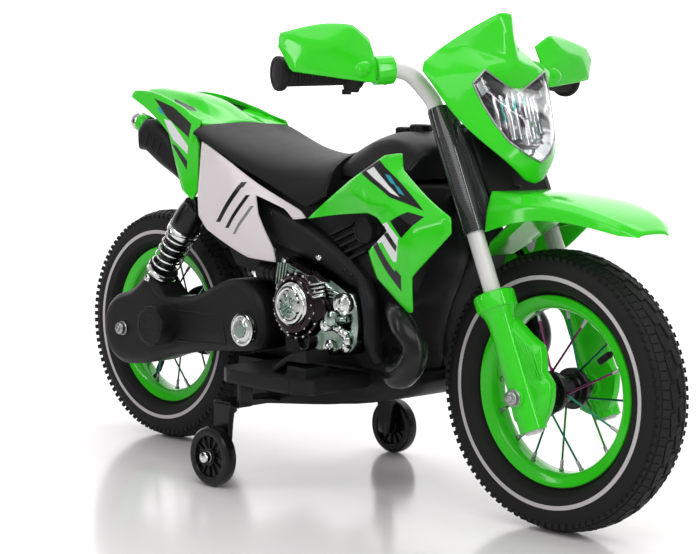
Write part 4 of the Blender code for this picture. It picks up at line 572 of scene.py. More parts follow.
def decorate(parts, shapes):
    """Lays flat colour shapes over a plastic's colour, in order."""
    look, tree, shader, place, base = parts
    for corners, colour in shapes:
        base = blend_colour(tree, patch_mask(tree, place, drawn(corners)), base, colour)
    feed(tree, shader, {"Base Color": base})
    return look


# Flat shapes in side view: x and z of each corner in millimetres, drawn anticlockwise
SHROUD_SHAPES = (
    ("518.8 368.8, 576.8 356.6, 480.6 409, 453.1 395", TRIM_BLACK),
    ("518.7 373.3, 533 369.6, 475.9 400.7, 466.3 395.6", TRIM_PALE),
    ("512 384.3, 521.6 381.4, 506.9 392, 498.8 393.8", TRIM_TEAL),
    ("529.7 373.9, 539.2 371.1, 524.8 380.4, 518.4 382.3", TRIM_TEAL),
    ("552.6 325.1, 582.4 350.7, 554.7 354.4, 528.5 342.5", TRIM_BLACK),
    ("515.7 295, 542.6 297.3, 547.9 324.8, 522.2 340.9, 490.6 327.3", TRIM_PALE),
    ("522.4 286.4, 545.2 263.6, 547.8 281.9, 505.3 319.2, 489.1 322.6", TRIM_BLACK),
    ("542.2 308.5, 545.1 315.5, 527.3 330, 519.5 327.1", TRIM_BLACK),
    ("538.2 285.6, 541.1 292.6, 516.6 317.8, 508.7 314.9", LIME),
)
PANEL_SHAPES = (
    ("202.3 318, 212.1 318.6, 257 371.5, 247.5 371", TRIM_BLACK),
    ("222 311.8, 229.7 312.3, 266.8 356, 259.3 355.5", TRIM_BLACK),
    ("237.6 305.4, 243.3 305.8, 274.7 342.8, 269 342.5", TRIM_GREY),
)
TAIL_SHAPES = (
    ("60.8 446.7, 124 421.2, 123.6 439.3, 71.2 460.1, 21.6 470.9", TRIM_BLACK),
    ("86.7 417.2, 124.4 400.4, 124.2 410.8, 73.6 441.7, 56.6 443.9", TRIM_PALE),
    ("124.9 379.6, 124.6 391.3, 95.3 409.6, 82.6 413.1", TRIM_BLACK),
    ("43.6 451.5, 56.5 447.9, 43.5 458.1, 32.7 459.2", TRIM_TEAL),
)
# Painted shade: dark patches on the engine cover where its recesses and the gaps between its fittings lie in
# shade, as x and z of each corner in millimetres
PAINTED_RECESS_SHADE = (0.012, 0.01, 0.011, 1.0)
ENGINE_PAINTED_SHADES = (
    "330 310, 338 279, 398 260, 412 260, 460 290",
    "340 193, 395 196, 396 212, 345 218",
    "396 199, 408 208, 411 248, 402 264, 390 250",
    "420 232, 430 226, 436 240, 426 247",
    "438 209, 450 207, 452 217, 440 218",
)

# Finishes: roughness, grain, its share, depth, strength and shade
GREEN_SKIN = ((0.1, 0.17), 1500.0, 0.12, 0.00004, 0.2, 0.95)
WHITE_SKIN = ((0.2, 0.3), 1500.0, 0.12, 0.00004, 0.2, 0.97)
GREEN_SHINE = {"coat": 0.12, "specular": 0.32, "marks": 0.06}
SPOKE_SKIN = ((0.18, 0.3), 700.0, 0.3, 0.00002, 0.3, 0.6)
FINISHES = (
    ("green", "green_gloss_shell", LIME, GREEN_SKIN, GREEN_SHINE),
    ("white", "white_gloss_shell", SHELL_WHITE, WHITE_SKIN, {"specular": 0.35}),
    ("black", "black_moulding", SHELL_BLACK, ((0.38, 0.5), 2400.0, 0.75, 0.00005, 0.45, 0.8),
     {"specular": 0.2}),
    ("black_gloss", "black_gloss_moulding", TRIM_BLACK, ((0.18, 0.28), 1500.0, 0.2, 0.00003, 0.2, 0.85),
     {"specular": 0.32}),
    ("seat", "seat_skin", (0.008, 0.008, 0.009, 1.0), ((0.46, 0.58), 1500.0, 0.9, 0.00012, 0.8, 0.75),
     {"specular": 0.18}),
    ("rubber", "grip_rubber", (0.009, 0.009, 0.009, 1.0), ((0.6, 0.72), 1800.0, 0.85, 0.00006, 0.6, 0.8),
     {"specular": 0.25}),
    ("white_tube", "white_tube_paint", (0.7, 0.68, 0.68, 1.0),
     ((0.16, 0.24), 900.0, 0.2, 0.00003, 0.2, 0.97), {"coat": 0.2}),
    ("steel", "zinc_steel", (0.42, 0.42, 0.43, 1.0), ((0.24, 0.4), 1100.0, 0.7, 0.00003, 0.5, 0.85),
     {"metallic": 1.0}),
    ("chrome", "bright_plating", (0.74, 0.78, 0.76, 1.0), ((0.06, 0.13), 500.0, 0.2, 0.00003, 0.2, 0.86),
     {"metallic": 1.0}),
    ("dark_chrome", "smoked_plating", (0.04, 0.03, 0.035, 1.0),
     ((0.1, 0.18), 420.0, 0.2, 0.00004, 0.3, 0.6), {"metallic": 1.0}),
    ("frame_black", "black_powder_coat", (0.012, 0.012, 0.012, 1.0),
     ((0.38, 0.5), 3000.0, 0.8, 0.00004, 0.5), {"specular": 0.3}),
    ("nylon", "plain_nylon", (0.6, 0.6, 0.55, 1.0), ((0.4, 0.5), 1200.0, 0.5, 0.00004, 0.4), {}),
    ("case", "battery_case", (0.09, 0.09, 0.1, 1.0), ((0.45, 0.55), 1600.0, 0.7, 0.00005, 0.5), {}),
    ("spoke_teal", "spoke_teal", (0.01, 0.24, 0.12, 1.0), SPOKE_SKIN, {"metallic": 0.7}),
    ("spoke_plum", "spoke_plum", (0.16, 0.01, 0.09, 1.0), SPOKE_SKIN, {"metallic": 0.7}),
    ("spoke_leaf", "spoke_leaf", (0.03, 0.3, 0.02, 1.0), SPOKE_SKIN, {"metallic": 0.7}),
)
DECORATED = (
    ("shroud", "green_shell_with_wedges", LIME, GREEN_SKIN, GREEN_SHINE, SHROUD_SHAPES),
    ("panel", "white_shell_with_bars", SHELL_WHITE, WHITE_SKIN, {"specular": 0.35}, PANEL_SHAPES),
    ("tail", "green_tail_with_bars", LIME, GREEN_SKIN, GREEN_SHINE, TAIL_SHAPES),
)


def make_finishes():
    for key, name, colour, skin, extra in FINISHES:
        LOOKS[key] = plastic(name, colour, *skin, **extra)[0]
    for key, name, colour, skin, extra, shapes in DECORATED:
        LOOKS[key] = decorate(plastic(name, colour, *skin, **extra), shapes)
    LOOKS["engine"] = engine_finish()
    LOOKS["reflector"] = reflector_finish()
    LOOKS["tyre_front"] = tyre_finish("front_tyre_rubber", FRONT_AXLE)
    LOOKS["tyre_rear"] = tyre_finish("rear_tyre_rubber", REAR_AXLE)
    LOOKS["carbon"] = woven_finish()
    LOOKS["lens"] = lens_finish()


def engine_finish():
    """Plated plastic with a green cast, and painted shade: dark patches where its recesses lie in shade."""
    look, tree, shader, place, base = plastic("plated_engine_cover", (0.4, 0.5, 0.44, 1.0), (0.12, 0.22),
        420.0, 0.25, 0.00006, 0.3, 0.8, metallic=1.0)
    mask = ramp(tree, noise(tree, place, 34.0, 2.0, 0.5), 0.52, 0.58)
    base = blend_colour(tree, mask, base, (0.19, 0.3, 0.23, 1.0))
    # Lays the painted shade over the recesses
    return decorate((look, tree, shader, place, base), [(corners, PAINTED_RECESS_SHADE)
        for corners in ENGINE_PAINTED_SHADES])


def reflector_finish():
    """The lamp's plating, with painted reflections: plum-black, teal and pinkish-white patches that stand in
    for the surroundings mirrored in it.
    """
    look, tree, shader, place, colour = plastic("lamp_plating", (0.62, 0.62, 0.63, 1.0), (0.07, 0.14),
        300.0, 0.2, 0.00005, 0.3, 0.9, metallic=1.0)
    stretched = vectors(tree, "MULTIPLY", place, (1.0, 2.4, 0.7))
    # Painted reflections: dark plum, teal and pale patches mixed into the plating's colour
    painted_reflections = ((34.0, 0.54, 0.6, (0.1, 0.06, 0.085, 1.0)), (52.0, 0.6, 0.64, (0.06, 0.3, 0.26, 1.0)),
        (45.0, 0.61, 0.66, (0.82, 0.76, 0.78, 1.0)))
    for scale, low, high, shade in painted_reflections:
        mask = ramp(tree, noise(tree, stretched, scale, 2.0, 0.5), low, high)
        colour = blend_colour(tree, mask, colour, shade)
    feed(tree, shader, {"Base Color": colour})
    return look


def tyre_finish(name, axle):
    """Black rubber with dust on it and a white line round each side wall."""
    look, tree, shader, place, base = plastic(name, (0.01, 0.01, 0.01, 1.0), (0.56, 0.7), 1100.0, 0.8,
        0.00008, 0.6, 0.7, specular=0.25)
    in_plane = vectors(tree, "MULTIPLY", vectors(tree, "SUBTRACT", place, axle), (1.0, 0.0, 1.0))
    near = maths(tree, "SUBTRACT", vectors(tree, "LENGTH", in_plane, out="Value"), 0.1282)
    inside = maths(tree, "LESS_THAN", maths(tree, "ABSOLUTE", near), 0.0024)
    across = node_of(tree, "SeparateXYZ", {0: place})["Y"]
    side = maths(tree, "GREATER_THAN", maths(tree, "ABSOLUTE", across), 0.0268)
    line = maths(tree, "MULTIPLY", inside, side)
    feed(tree, shader, {"Base Color": blend_colour(tree, line, base, (0.52, 0.49, 0.51, 1.0))})
    return look


def woven_finish():
    """Black plastic with a printed twill, in small slanting cells."""
    look, tree, shader, place, base = plastic("woven_look_shell", (0.012, 0.012, 0.013, 1.0), (0.14, 0.2),
        1500.0, 0.2, 0.00003, 0.2, 0.9, coat=0.5)
    turned = node_of(tree, "Mapping", {"Vector": place, "Rotation": (0.0, radians(24.0), 0.0)})["Vector"]
    cells = node_of(tree, "TexChecker", {"Vector": turned, "Scale": 720.0})["Fac"]
    feed(tree, shader, {"Base Color": blend_colour(tree, cells, base, (0.04, 0.042, 0.045, 1.0))})
    return look


def lens_finish():
    look, tree, shader, place = start_material("clear_lens")
    rough = between(tree, noise(tree, place, 60.0, 2.0, 0.5), 0.0, 0.04)
    feed(tree, shader, {"Base Color": (0.97, 0.99, 1.0, 1.0), "Transmission Weight": 1.0, "IOR": 1.45,
        "Roughness": rough})
    return look


# Wheels

TREAD_ROWS = 32


def tread(axle, body, tag, look):
    """The tyre: a round carcass with close rows of low blocks, slit shoulders and side lugs."""
    half = drawn("98.5 8.5, 100 13.2, 109.5 13.4, 110.5 15, 113 21.5, 116.5 26.2, 121.5 28.3, 125.2 28.7, "
        "125.7 29, 130.7 29, 131.2 28.6, 137 28.4, 138.5 28.7, 140 28.2, 145 27, 149.6 24.4, 153.4 19.4, "
        "156 11, 156.7 0")
    profile = half + [(r, -y) for r, y in reversed(half[:-1])] + [half[0]]
    pieces = [lathe(tag + "_carcass", profile, axle, SIDE, 96)]
    for y, lean, shift in ((0.006, 5.0, 0.0), (-0.006, -5.0, 0.5)):
        turn = 2.0 * math.pi * shift / TREAD_ROWS
        block = brick("block", axle + Vector((0.0, y, 0.1564)), (0.0278, 0.0096, 0.003), (-lean, 0.0, 10.0),
            0.95, 0.0004)
        pieces += ringed(block, axle, SIDE, TREAD_ROWS, turn)
        for along in (-0.005, 0.005):
            sipe = brick("sipe", axle + Vector((along, y, 0.1579)), (0.0012, 0.0056, 0.0008),
                (-lean, 0.0, 40.0), 0.9, 0.0002)
            pieces += ringed(sipe, axle, SIDE, TREAD_ROWS, turn)
    for side in (-1.0, 1.0):
        turn = 2.0 * math.pi * (0.25 if side > 0 else 0.75) / TREAD_ROWS
        for along in (-0.01, 0.0, 0.01):
            block = brick("block", axle + Vector((along, side * 0.017, 0.15395 - along * along * 3.1)),
                (0.0095, 0.01, 0.0026), (-side * 27.0, math.degrees(along * 6.4), side * 6.0), 0.95, 0.0004)
            pieces += ringed(block, axle, SIDE, TREAD_ROWS, turn)
        lug = brick("lug", axle + Vector((0.0, side * 0.0252, 0.147)), (0.0062, 0.003, 0.01),
            (-side * 24.0, 0.0, 0.0), 0.9, 0.0004)
        pieces += ringed(lug, axle, SIDE, 3 * TREAD_ROWS)
    tyre = joined(tag + "_tyre_treaded", pieces)
    smooth(tyre, 30.0)
    finish_piece(tyre, look, body, tag + "_tyre")


def rim(axle, body, tag):
    half = drawn("92.2 0, 92.4 9.5, 94.5 12.8, 98.5 15, 104 16, 106.8 16.6, 107.8 15.6, 107.8 14, 106 13.7, "
        "96 13, 95.2 0")
    profile = half + [(r, -y) for r, y in reversed(half[1:-1])] + [half[0]]
    ring = lathe(tag + "_rim_rolled", profile, axle, SIDE, 96)
    finish_piece(ring, "green", body, tag + "_rim")


SPOKE_COLOURS = ("spoke_teal", "spoke_plum", "spoke_leaf")


def spoke_ends(side, number):
    """Hub and rim angles of one laced spoke."""
    at_rim = math.pi / 4.0 * (number + (0.0 if side > 0 else 0.5))
    return at_rim + (0.42 if number % 2 else -0.42), at_rim


def hub_and_spokes(axle, body, tag, half_width):
    half = [(half_width, 0.0066), (half_width, 0.011), (half_width - 0.0015, 0.0118), (0.03, 0.0118),
        (0.0285, 0.015), (0.0235, 0.016), (0.0232, 0.0228), (0.0222, 0.0236), (0.0168, 0.0236),
        (0.016, 0.0228), (0.0158, 0.0165), (0.014, 0.015)]
    pieces = [lathe(tag + "_barrel", there_and_back([(r, y) for y, r in half]), axle, SIDE, 48)]
    for side in (-1.0, 1.0):
        rib = brick("rib", axle + Vector((0.0, side * 0.0198, 0.0222)), (0.0022, 0.008, 0.0024),
            edge=0.0004)
        pieces += ringed(rib, axle, SIDE, 16)
        bead = bar("bolt", axle + Vector((0.0, side * 0.0232, 0.0185)),
            axle + Vector((0.0, side * 0.0246, 0.0185)), 0.0018, 8, 0.0003)
        pieces += ringed(bead, axle, SIDE, 6, radians(15.0))
    hub = joined(tag + "_hub_turned", pieces)
    finish_piece(hub, "black_gloss", body, tag + "_hub_and_spokes")
    sets = {colour: [] for colour in SPOKE_COLOURS}
    nipples = []
    for side in (-1, 1):
        for number in range(8):
            near, far = spoke_ends(side, number)
            start = axle + Vector((math.cos(near), 0.0, math.sin(near))) * 0.0205 + SIDE * (side * 0.0194)
            end = axle + Vector((math.cos(far), 0.0, math.sin(far))) * 0.0915 + SIDE * (side * 0.004)
            colour = SPOKE_COLOURS[(3 * number + (0 if side > 0 else 1)) % 8 % 3]
            sets[colour].append(bar("wire", start, end, 0.0013, 8))
            way = (end - start).normalized()
            nipples.append(bar("nipple", end - way * 0.0115, end + way * 0.0008, 0.00215, 8, 0.0004))
            nipples.append(bar("seat", end - way * 0.002, end + way * 0.0004, 0.003, 10, 0.0004))
    for colour, wires in sets.items():
        finish_piece(joined(tag + "_" + colour, wires), colour, body)
    finish_piece(joined(tag + "_nipples", nipples), "steel", body)


def valve(axle, body, tag, angle):
    way = Vector((math.cos(angle), 0.0, math.sin(angle)))
    stem = bar("stem", axle + way * 0.093, axle + way * 0.08, 0.0026, 14, 0.0004)
    cap = bar("cap", axle + way * 0.0815, axle + way * 0.064, 0.004, 14, 0.001)
    collar = bar("collar", axle + way * 0.0928, axle + way * 0.09, 0.0046, 16, 0.0006)
    finish_piece(joined(tag + "_valve", [stem, cap, collar]), "rubber", body)


def nut(name, place, outward, radius, height=0.0105):
    """A flanged nut with the end of its axle standing out of it."""
    outward = Vector(outward).normalized()
    washer = lathe("washer", [(0.0, 0.0), (radius * 1.34, 0.0), (radius * 1.4, 0.0006),
        (radius * 1.3, 0.0015), (0.0, 0.0018)], place, outward, 32)
    hexagon = bar("hex", Vector(place) + outward * 0.001, Vector(place) + outward * (height * 0.58), radius,
        6, 0.0005)
    stud = lathe("stud", [(radius * 0.62, height * 0.5), (radius * 0.62, height * 0.84),
        (radius * 0.5, height * 0.96), (radius * 0.24, height), (0.0, height)], place, outward, 24)
    return joined(name, [washer, hexagon, stud])


def screw(place, outward, radius):
    """A pan-head screw with a shallow round dimple in its head."""
    return lathe("head", [(0.0, 0.0), (radius, 0.0), (radius, radius * 0.22),
        (radius * 0.86, radius * 0.48), (radius * 0.4, radius * 0.6), (radius * 0.22, radius * 0.3),
        (0.0, radius * 0.28)], place, outward, 20)


def build_wheels():
    for axle, body, tag, half_width in ((FRONT_AXLE, "front_wheel", "front", 0.041),
            (REAR_AXLE, "rear_wheel", "rear", 0.036)):
        tread(axle, body, tag, "tyre_" + tag)
        rim(axle, body, tag)
        hub_and_spokes(axle, body, tag, half_width)
    valve(FRONT_AXLE, "front_wheel", "front", radians(36.6))
    valve(REAR_AXLE, "rear_wheel", "rear", radians(-117.7))


# Fork, bars and headlight

FORK_RAKE = radians(24.0)
FORK_UP = Vector((-math.sin(FORK_RAKE), 0.0, math.cos(FORK_RAKE)))
FORK_FORWARD = Vector((math.cos(FORK_RAKE), 0.0, math.sin(FORK_RAKE)))
FORK_Y = -0.066
FORK_FOOT = FRONT_AXLE + SIDE * FORK_Y


def fork_point(forward, along):
    """A point on the outside of the right fork leg, measured from the front axle."""
    return FRONT_AXLE + FORK_FORWARD * forward + FORK_UP * along + SIDE * (FORK_Y - 0.0036)


def build_fork():
    for side in ("_R", "_L"):
        for name, look, degrees in (("fork_tube", "white_tube", 55.0), ("fork_upper_cover", "carbon", 50.0),
                ("fork_lower_cover", "green", 36.0), ("hand_guard", "green", 24.0)):
            finish_piece(moulded(name + side, degrees=degrees), look, "fork")
    deselect()
    bpy.ops.mesh.primitive_uv_sphere_add(segments=28, ring_count=16, radius=1.0,
        location=(0.5185, -0.1565, 0.5104), rotation=(0.0, 0.0, radians(20.0)),
        scale=(0.0122, 0.025, 0.014))
    swell = smooth(settle(bpy.context.active_object), 60.0)
    pair(swell, "guard_swell", "green", "fork")
    pair(screw((0.5265, -0.129, 0.4975), (0.3, -0.3, -0.9), 0.0034), "guard_screw", "steel", "fork")
    round_pair("fork_collar", "green", "fork", "12.8 100, 22.2 100, 23.4 101.2, 23.6 115, 22.8 117.8, "
        "20.6 119.4, 12.8 119.6, 12.8 100", FORK_FOOT, FORK_UP, 48)
    round_pair("fork_sleeve", "green", "fork", "12.8 -39.5, 14.6 -39.5, 15.4 -38.5, 15.4 86.5, 17.2 93, "
        "21.2 100.4, 12.8 100.8, 12.8 -39.5", FORK_FOOT, FORK_UP, 48)
    ribs = []
    for k in range(6):
        forward = 0.0165 + 0.0034 * k
        top = 0.066 - 0.0042 * k
        end = fork_point(forward + 0.0015, top - 0.05 + 0.003 * k)
        ribs.append(bar("rib", fork_point(forward, top), end, 0.0011, 8, 0.0004))
    pair(ribs, "fork_ribs", "green", "fork")
    round_pair("axle_boss", "green", "fork", "0 0, 12.2 0, 12.8 2, 11.8 17, 10.8 18.2, 0 18.2",
        FRONT_AXLE + SIDE * (FORK_Y + 0.001), -SIDE, 36)
    round_pair("tube_end", "white_tube", "fork", "0 -42.5, 9.2 -42.5, 10 -41.8, 10.2 -37, 0 -37", FORK_FOOT,
        FORK_UP, 32)
    mask_pulls = (((0.586, 0.048, 0.54), 0.0075, (-0.0125, 0.0, 0.0)),
        ((0.59, 0.078, 0.505), 0.0075, (-0.0065, 0.0, 0.0)))
    nose_pulls = (((0.624, 0.051, 0.376), 0.0075, (-0.005, 0.0, 0.005)),)
    for node, look, pulls in (("front_fender", "green", nose_pulls),
            ("headlight_mask", "green", mask_pulls), ("mask_back_cover", "black", ()),
            ("steering_stem", "frame_black", ())):
        finish_piece(moulded(node, degrees=18.0, nudges=pulls), look, "fork")
    finish_piece(moulded("horn_button", degrees=55.0), "rubber", "horn_button")
    build_grips()
    build_headlight()


GRIP_RIBS = 22


def build_grips():
    start = Vector((0.5145, -0.158, 0.509))
    axis = (Vector((0.479, -0.2507, 0.5045)) - start).normalized()
    half = drawn("10.3 0, 17.6 0, 18.6 0.8, 18.6 3.4, 17.6 4.2, 15 5")
    for k in range(GRIP_RIBS):
        along = 0.0062 + 0.0036 * k
        half += [(0.0136, along), (0.0136, along + 0.001), (0.0146, along + 0.0015),
            (0.0146, along + 0.003)]
    half += drawn("14.2 88, 16.8 89.5, 18.6 91.2, 19.2 94, 19.2 97.5, 18.2 99.2, 14 100, 12.2 99, 11 99.4, "
        "0 100.4")
    sleeve = lathe("ribbed_grip", half, start, axis, 40)
    pair(sleeve, "ribbed_grip", "rubber", "fork", "grip")
    pod = lathe("button_pod", "0 6, 12 7, 11.8 11, 9.8 15, 9 19, 8.2 21.6, 7 22.6, 6.3 22.6, 6 19, 0 18.8",
        start + axis * 0.0112 + Vector((0.003, 0.0, 0.0)), (0.0, 0.0, -1.0), 32)
    finish_piece(pod, "rubber", "fork")


LENS_EDGE = drawn("611.2 0 487.5, 606.2 -51.8 514.4, 600.4 -65.2 499, 610.4 -59.2 476.2, 621.9 -51.2 455.2, "
    "633.9 -39.4 435.4, 644.9 -19.6 420.4, 647.9 0 412.4")
LAMP_CENTRE = (0.626, 0.0, 0.444)
HEADLIGHT_WAY = Vector((0.903, 0.0, 0.43)).normalized()


def build_headlight():
    finish_piece(moulded("headlight_lens", degrees=75.0), "lens", "fork")
    finish_piece(moulded("headlight_reflector", degrees=30.0), "reflector", "fork")
    flutes = []
    for k in range(-4, 5):
        y = 0.0086 * k
        low, high = 0.43 + 0.36 * abs(y), 0.488 + 0.25 * abs(y)
        x = 0.62 - 0.3 * abs(y)
        flutes.append(bar("flute", (x + 0.008, y, low), (x - 0.01, y, high), 0.0044, 20, 0.001))
    lamp = lathe("lamp", "4 -10, 12 -8.5, 16.5 -2, 17.8 3, 18.6 3, 17.6 -4, 12.5 -10.5, 4 -12, 4 -10",
        LAMP_CENTRE, HEADLIGHT_WAY, 40)
    finish_piece(joined("lamp_flutes", flutes + [lamp]), "reflector", "fork")
    glass = lathe("bulb", "0 -11, 4 -11, 5.2 -4, 3.6 1, 0 2.2", LAMP_CENTRE, HEADLIGHT_WAY, 24)
    finish_piece(glass, "white_tube", "fork")
    brow = brick("brow", (0.6035, -0.0265, 0.4925), (0.013, 0.045, 0.013), (-27.0, 0.0, -6.0), 0.8, 0.001)
    pair(brow, "lamp_brow", "black_gloss", "fork")
    wedge = brick("wedge", (0.6, -0.05, 0.496), (0.01, 0.02, 0.016), (40.0, 0.0, -10.0), 0.5, 0.001)
    pair(wedge, "lamp_wedge", "chrome", "fork")
    pair(chain("sill", LENS_EDGE, 0.0012, 12, 0.0004), "lens_sill", "steel", "fork")


# Swingarm and shocks

SHOCK_LOWER = Vector((0.05, -0.071, 0.231))
SHOCK_WAY = (Vector((0.128, -0.071, 0.333)) - SHOCK_LOWER).normalized()
SPRING_LOW = 0.0192
SPRING_HIGH = 0.0788
SPRING_TURNS = 5
WIRE_RADIUS = 0.0014


def coil(name):
    """A closed-end coil spring, screwed up from a round wire section."""
    deselect()
    bpy.ops.mesh.primitive_circle_add(vertices=10, radius=WIRE_RADIUS, fill_type="NGON",
        location=(0.0183, 0.0, 0.0), rotation=(radians(90.0), 0.0, 0.0))
    wire = settle(bpy.context.active_object)
    wire.name = name
    open_mesh()
    bpy.ops.mesh.delete(type="ONLY_FACE")
    close_mesh()
    turn = wire.modifiers.new("turns", "SCREW")
    turn.axis = "Z"
    turn.angle = 2.0 * math.pi * SPRING_TURNS
    turn.steps = turn.render_steps = 28 * SPRING_TURNS
    turn.screw_offset = SPRING_HIGH - SPRING_LOW - 2.0 * WIRE_RADIUS
    bake(wire)
    open_mesh("DESELECT")
    bpy.ops.mesh.select_mode(type="EDGE")
    bpy.ops.mesh.select_non_manifold(extend=False)
    bpy.ops.mesh.fill_holes(sides=12)
    bpy.ops.mesh.select_all(action="SELECT")
    bpy.ops.mesh.normals_make_consistent(inside=False)
    bpy.ops.mesh.select_mode(type="VERT")
    close_mesh()
    wire.location = SHOCK_LOWER + SHOCK_WAY * (SPRING_LOW + WIRE_RADIUS)
    wire.rotation_euler = SHOCK_WAY.to_track_quat("Z", "Y").to_euler()
    settle(wire)
    return smooth(wire, 50.0)


def build_shocks():
    for node in ("shock_lower_R", "shock_upper_R", "shock_lower_L", "shock_upper_L"):
        finish_piece(moulded(node, degrees=50.0), "black_gloss", node)
    round_pair("lower_cup", "chrome", "shock_lower", "12.5 8.8, 20 9.6, 21.2 10.8, 20.5 12.6, 21.3 14.6, "
        "21.4 17.6, 20.6 18.6, 19.2 18.4, 18.8 15, 12.5 12, 12.5 8.8", SHOCK_LOWER, SHOCK_WAY, 48)
    round_pair("upper_cup", "chrome", "shock_upper", "12 79.6, 20.4 79.6, 21.3 80.6, 21.4 85, 20.6 86.2, "
        "21.3 87.6, 21.3 90, 20 91.2, 12 91.6, 12 79.6", SHOCK_LOWER, SHOCK_WAY, 48)
    rings = [(0.012, 0.04)]
    for k in range(6):
        along = 0.04 + 0.0064 * k
        rings += [(0.0148, along), (0.0152, along + 0.0008), (0.0152, along + 0.0026),
            (0.0148, along + 0.0034), (0.0138, along + 0.0036), (0.0138, along + 0.0062)]
    rings += drawn("13.8 79, 12 79, 12 40")
    round_pair("ribbed_sleeve", "black_gloss", "shock_upper", rings, SHOCK_LOWER, SHOCK_WAY, 40)
    round_pair("upper_boot", "black_gloss", "shock_upper", "12 90.5, 19.8 90.5, 20.5 91.5, 20.5 101, "
        "19.2 117, 16.8 129, 11 133, 0 133.4", SHOCK_LOWER, SHOCK_WAY, 40)
    springs = pair(coil("coil_spring"), "coil_spring", "chrome", "shock_upper", "shock_spring")
    for spring, side in zip(springs, "RL"):
        anchor = SHOCK_LOWER + SHOCK_WAY * SPRING_HIGH
        if side == "L":
            anchor.y = -anchor.y
        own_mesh(spring)
    pair(screw(SHOCK_LOWER + SIDE * -0.0175, -SIDE, 0.0058), "lower_eye_screw", "chrome", "swingarm")


def build_swingarm():
    for name, look, degrees in (("swingarm_casing", "black", 40.0), ("gearcase_cover", "black", 40.0),
            ("drive_motor", "steel", 55.0), ("rear_axle", "steel", 50.0), ("wheel_gear", "nylon", 40.0),
            ("front_axle", "steel", 50.0), ("drive_pinion", "steel", 40.0)):
        for node in sides_of(name):
            levels = 0 if node in ("wheel_gear", "drive_pinion") else 2
            finish_piece(moulded(node, levels=levels, degrees=degrees), look, BODY_OF[node])
    ring = lathe("motor_boss_ring", "14 0, 22.5 0, 23 0.4, 22.2 0.9, 20.6 0.9, 20 0.3, 17.6 0.3, 17 0.8, "
        "14.8 0.8, 14 0", (0.092, -0.1186, 0.174), -SIDE, 48)
    dots = ringed(bar("dot", Vector((0.092 + 0.01, -0.1182, 0.174)), Vector((0.092 + 0.01, -0.1196, 0.174)),
        0.0013, 12, 0.0004), (0.092, 0.0, 0.174), SIDE, 6, radians(30.0))
    centre_dot = bar("dot", Vector((0.092, -0.1182, 0.174)), Vector((0.092, -0.1194, 0.174)), 0.0015, 12,
        0.0004)
    finish_piece(joined("motor_boss_marks", [ring, centre_dot] + dots), "black", "swingarm")
    ribs = chain("rib", [(x, -0.0915, z) for x, z in ((0.118, 0.195), (0.206, 0.1985), (0.216, 0.162),
        (0.118, 0.156))], 0.0016, 10, 0.0006)
    pair(ribs, "casing_ribs", "black", "swingarm")
    round_pair("pivot_cap", "chrome", "frame", "0 0, 20.4 0, 21 1, 20.6 3.4, 17.6 4.4, 16.4 4, 15 2.2, "
        "14 2.4, 13.4 4.4, 11.8 5.6, 7 6.2, 0 6.3", (0.254, -0.0957, 0.186), -SIDE, 56)
    inlay = lathe("inlay", "0 0, 10.4 0, 10.8 0.6, 10 1.4, 0 1.6", (0.254, -0.1017, 0.186), -SIDE, 36)
    dots = ringed(bar("dot", (0.2718, -0.099, 0.186), (0.2718, -0.1008, 0.186), 0.0013, 10, 0.0004),
        (0.254, 0.0, 0.186), SIDE, 4, radians(35.0))
    pair([inlay] + dots, "pivot_inlay", "engine", "frame")
    finish_piece(moulded("pivot_bolt", degrees=50.0), "chrome", BODY_OF["pivot_bolt"])
    for tag, axle, y in (("front", FRONT_AXLE, -0.0829), ("rear", REAR_AXLE, -0.0921)):
        pair(nut(tag + "_axle_nut", axle + SIDE * y, -SIDE, 0.007), tag + "_axle_nut", "steel",
            BODY_OF[tag + "_axle"])


# Body

# Ends of the posts under a panel, as (x, z, distance from the middle)
PANEL_POSTS = {"tank_shroud": ((0.47, 0.376, 0.109), (0.52, 0.3, 0.119), (0.499, 0.37, 0.109)),
    "side_panel": ((0.252, 0.362, 0.0985), (0.205, 0.35, 0.1005), (0.28, 0.286, 0.0995))}


def build_body():
    finish = (("body_shell", "black", 24.0), ("floor_pan", "black", 30.0), ("tank_cover", "black", 34.0),
        ("seat", "seat", 42.0), ("tail_cover", "tail", 16.0), ("muffler", "black", 24.0),
        ("tank_shroud", "shroud", 13.0), ("side_panel", "panel", 13.0), ("engine_cover", "engine", 24.0),
        ("battery", "case", 45.0), ("main_frame", "frame_black", 50.0),
        ("accelerator_pedal", "black", 30.0), ("power_switch", "black_gloss", 55.0),
        ("training_arm", "black_gloss", 30.0))
    for name, look, degrees in finish:
        for node in sides_of(name):
            finish_piece(moulded(node, degrees=degrees, healed=PANEL_POSTS.get(name, ())), look,
                BODY_OF[node])
    elbow = tube("elbow", "496 -62 244, 520 -92 237, 546 -108.5 222.5, 563 -108.5 198, 551 -108.5 173, "
        "526 -100 165, 494 -64 176", 0.0156)
    pair(elbow, "exhaust_elbow", "black_gloss", "frame")
    cradle = tube("cradle", "452 -80 262, 466 -86 245, 473.7 -88 216.3, 476.2 -88 193.1, 474 -76 176",
        0.0103)
    pair(cradle, "cradle_tube", "black", "frame")
    round_pair("rear_barrel", "black", "frame", "0 0, 10.5 0, 11.8 1.2, 11.8 15, 10 16.2, 10 20, 10.8 20.6, "
        "10.8 24, 9.6 24.6, 9.6 28, 10.8 28.6, 10.8 32, 9.6 32.6, 0 44", (0.262, -0.074, 0.26),
        (1.0, 0.0, -0.06), 40)
    sill = brick("rear_sill", (0.251, 0.0, 0.1528), (0.092, 0.066, 0.015), edge=0.001)
    finish_piece(sill, "black", "frame")
    build_engine()
    build_small_wheels()
    build_mufflers()
    build_trim()


ENGINE_Y = -0.1


def engine_point(x, z, out=0.0):
    return Vector((x, ENGINE_Y - out, z))


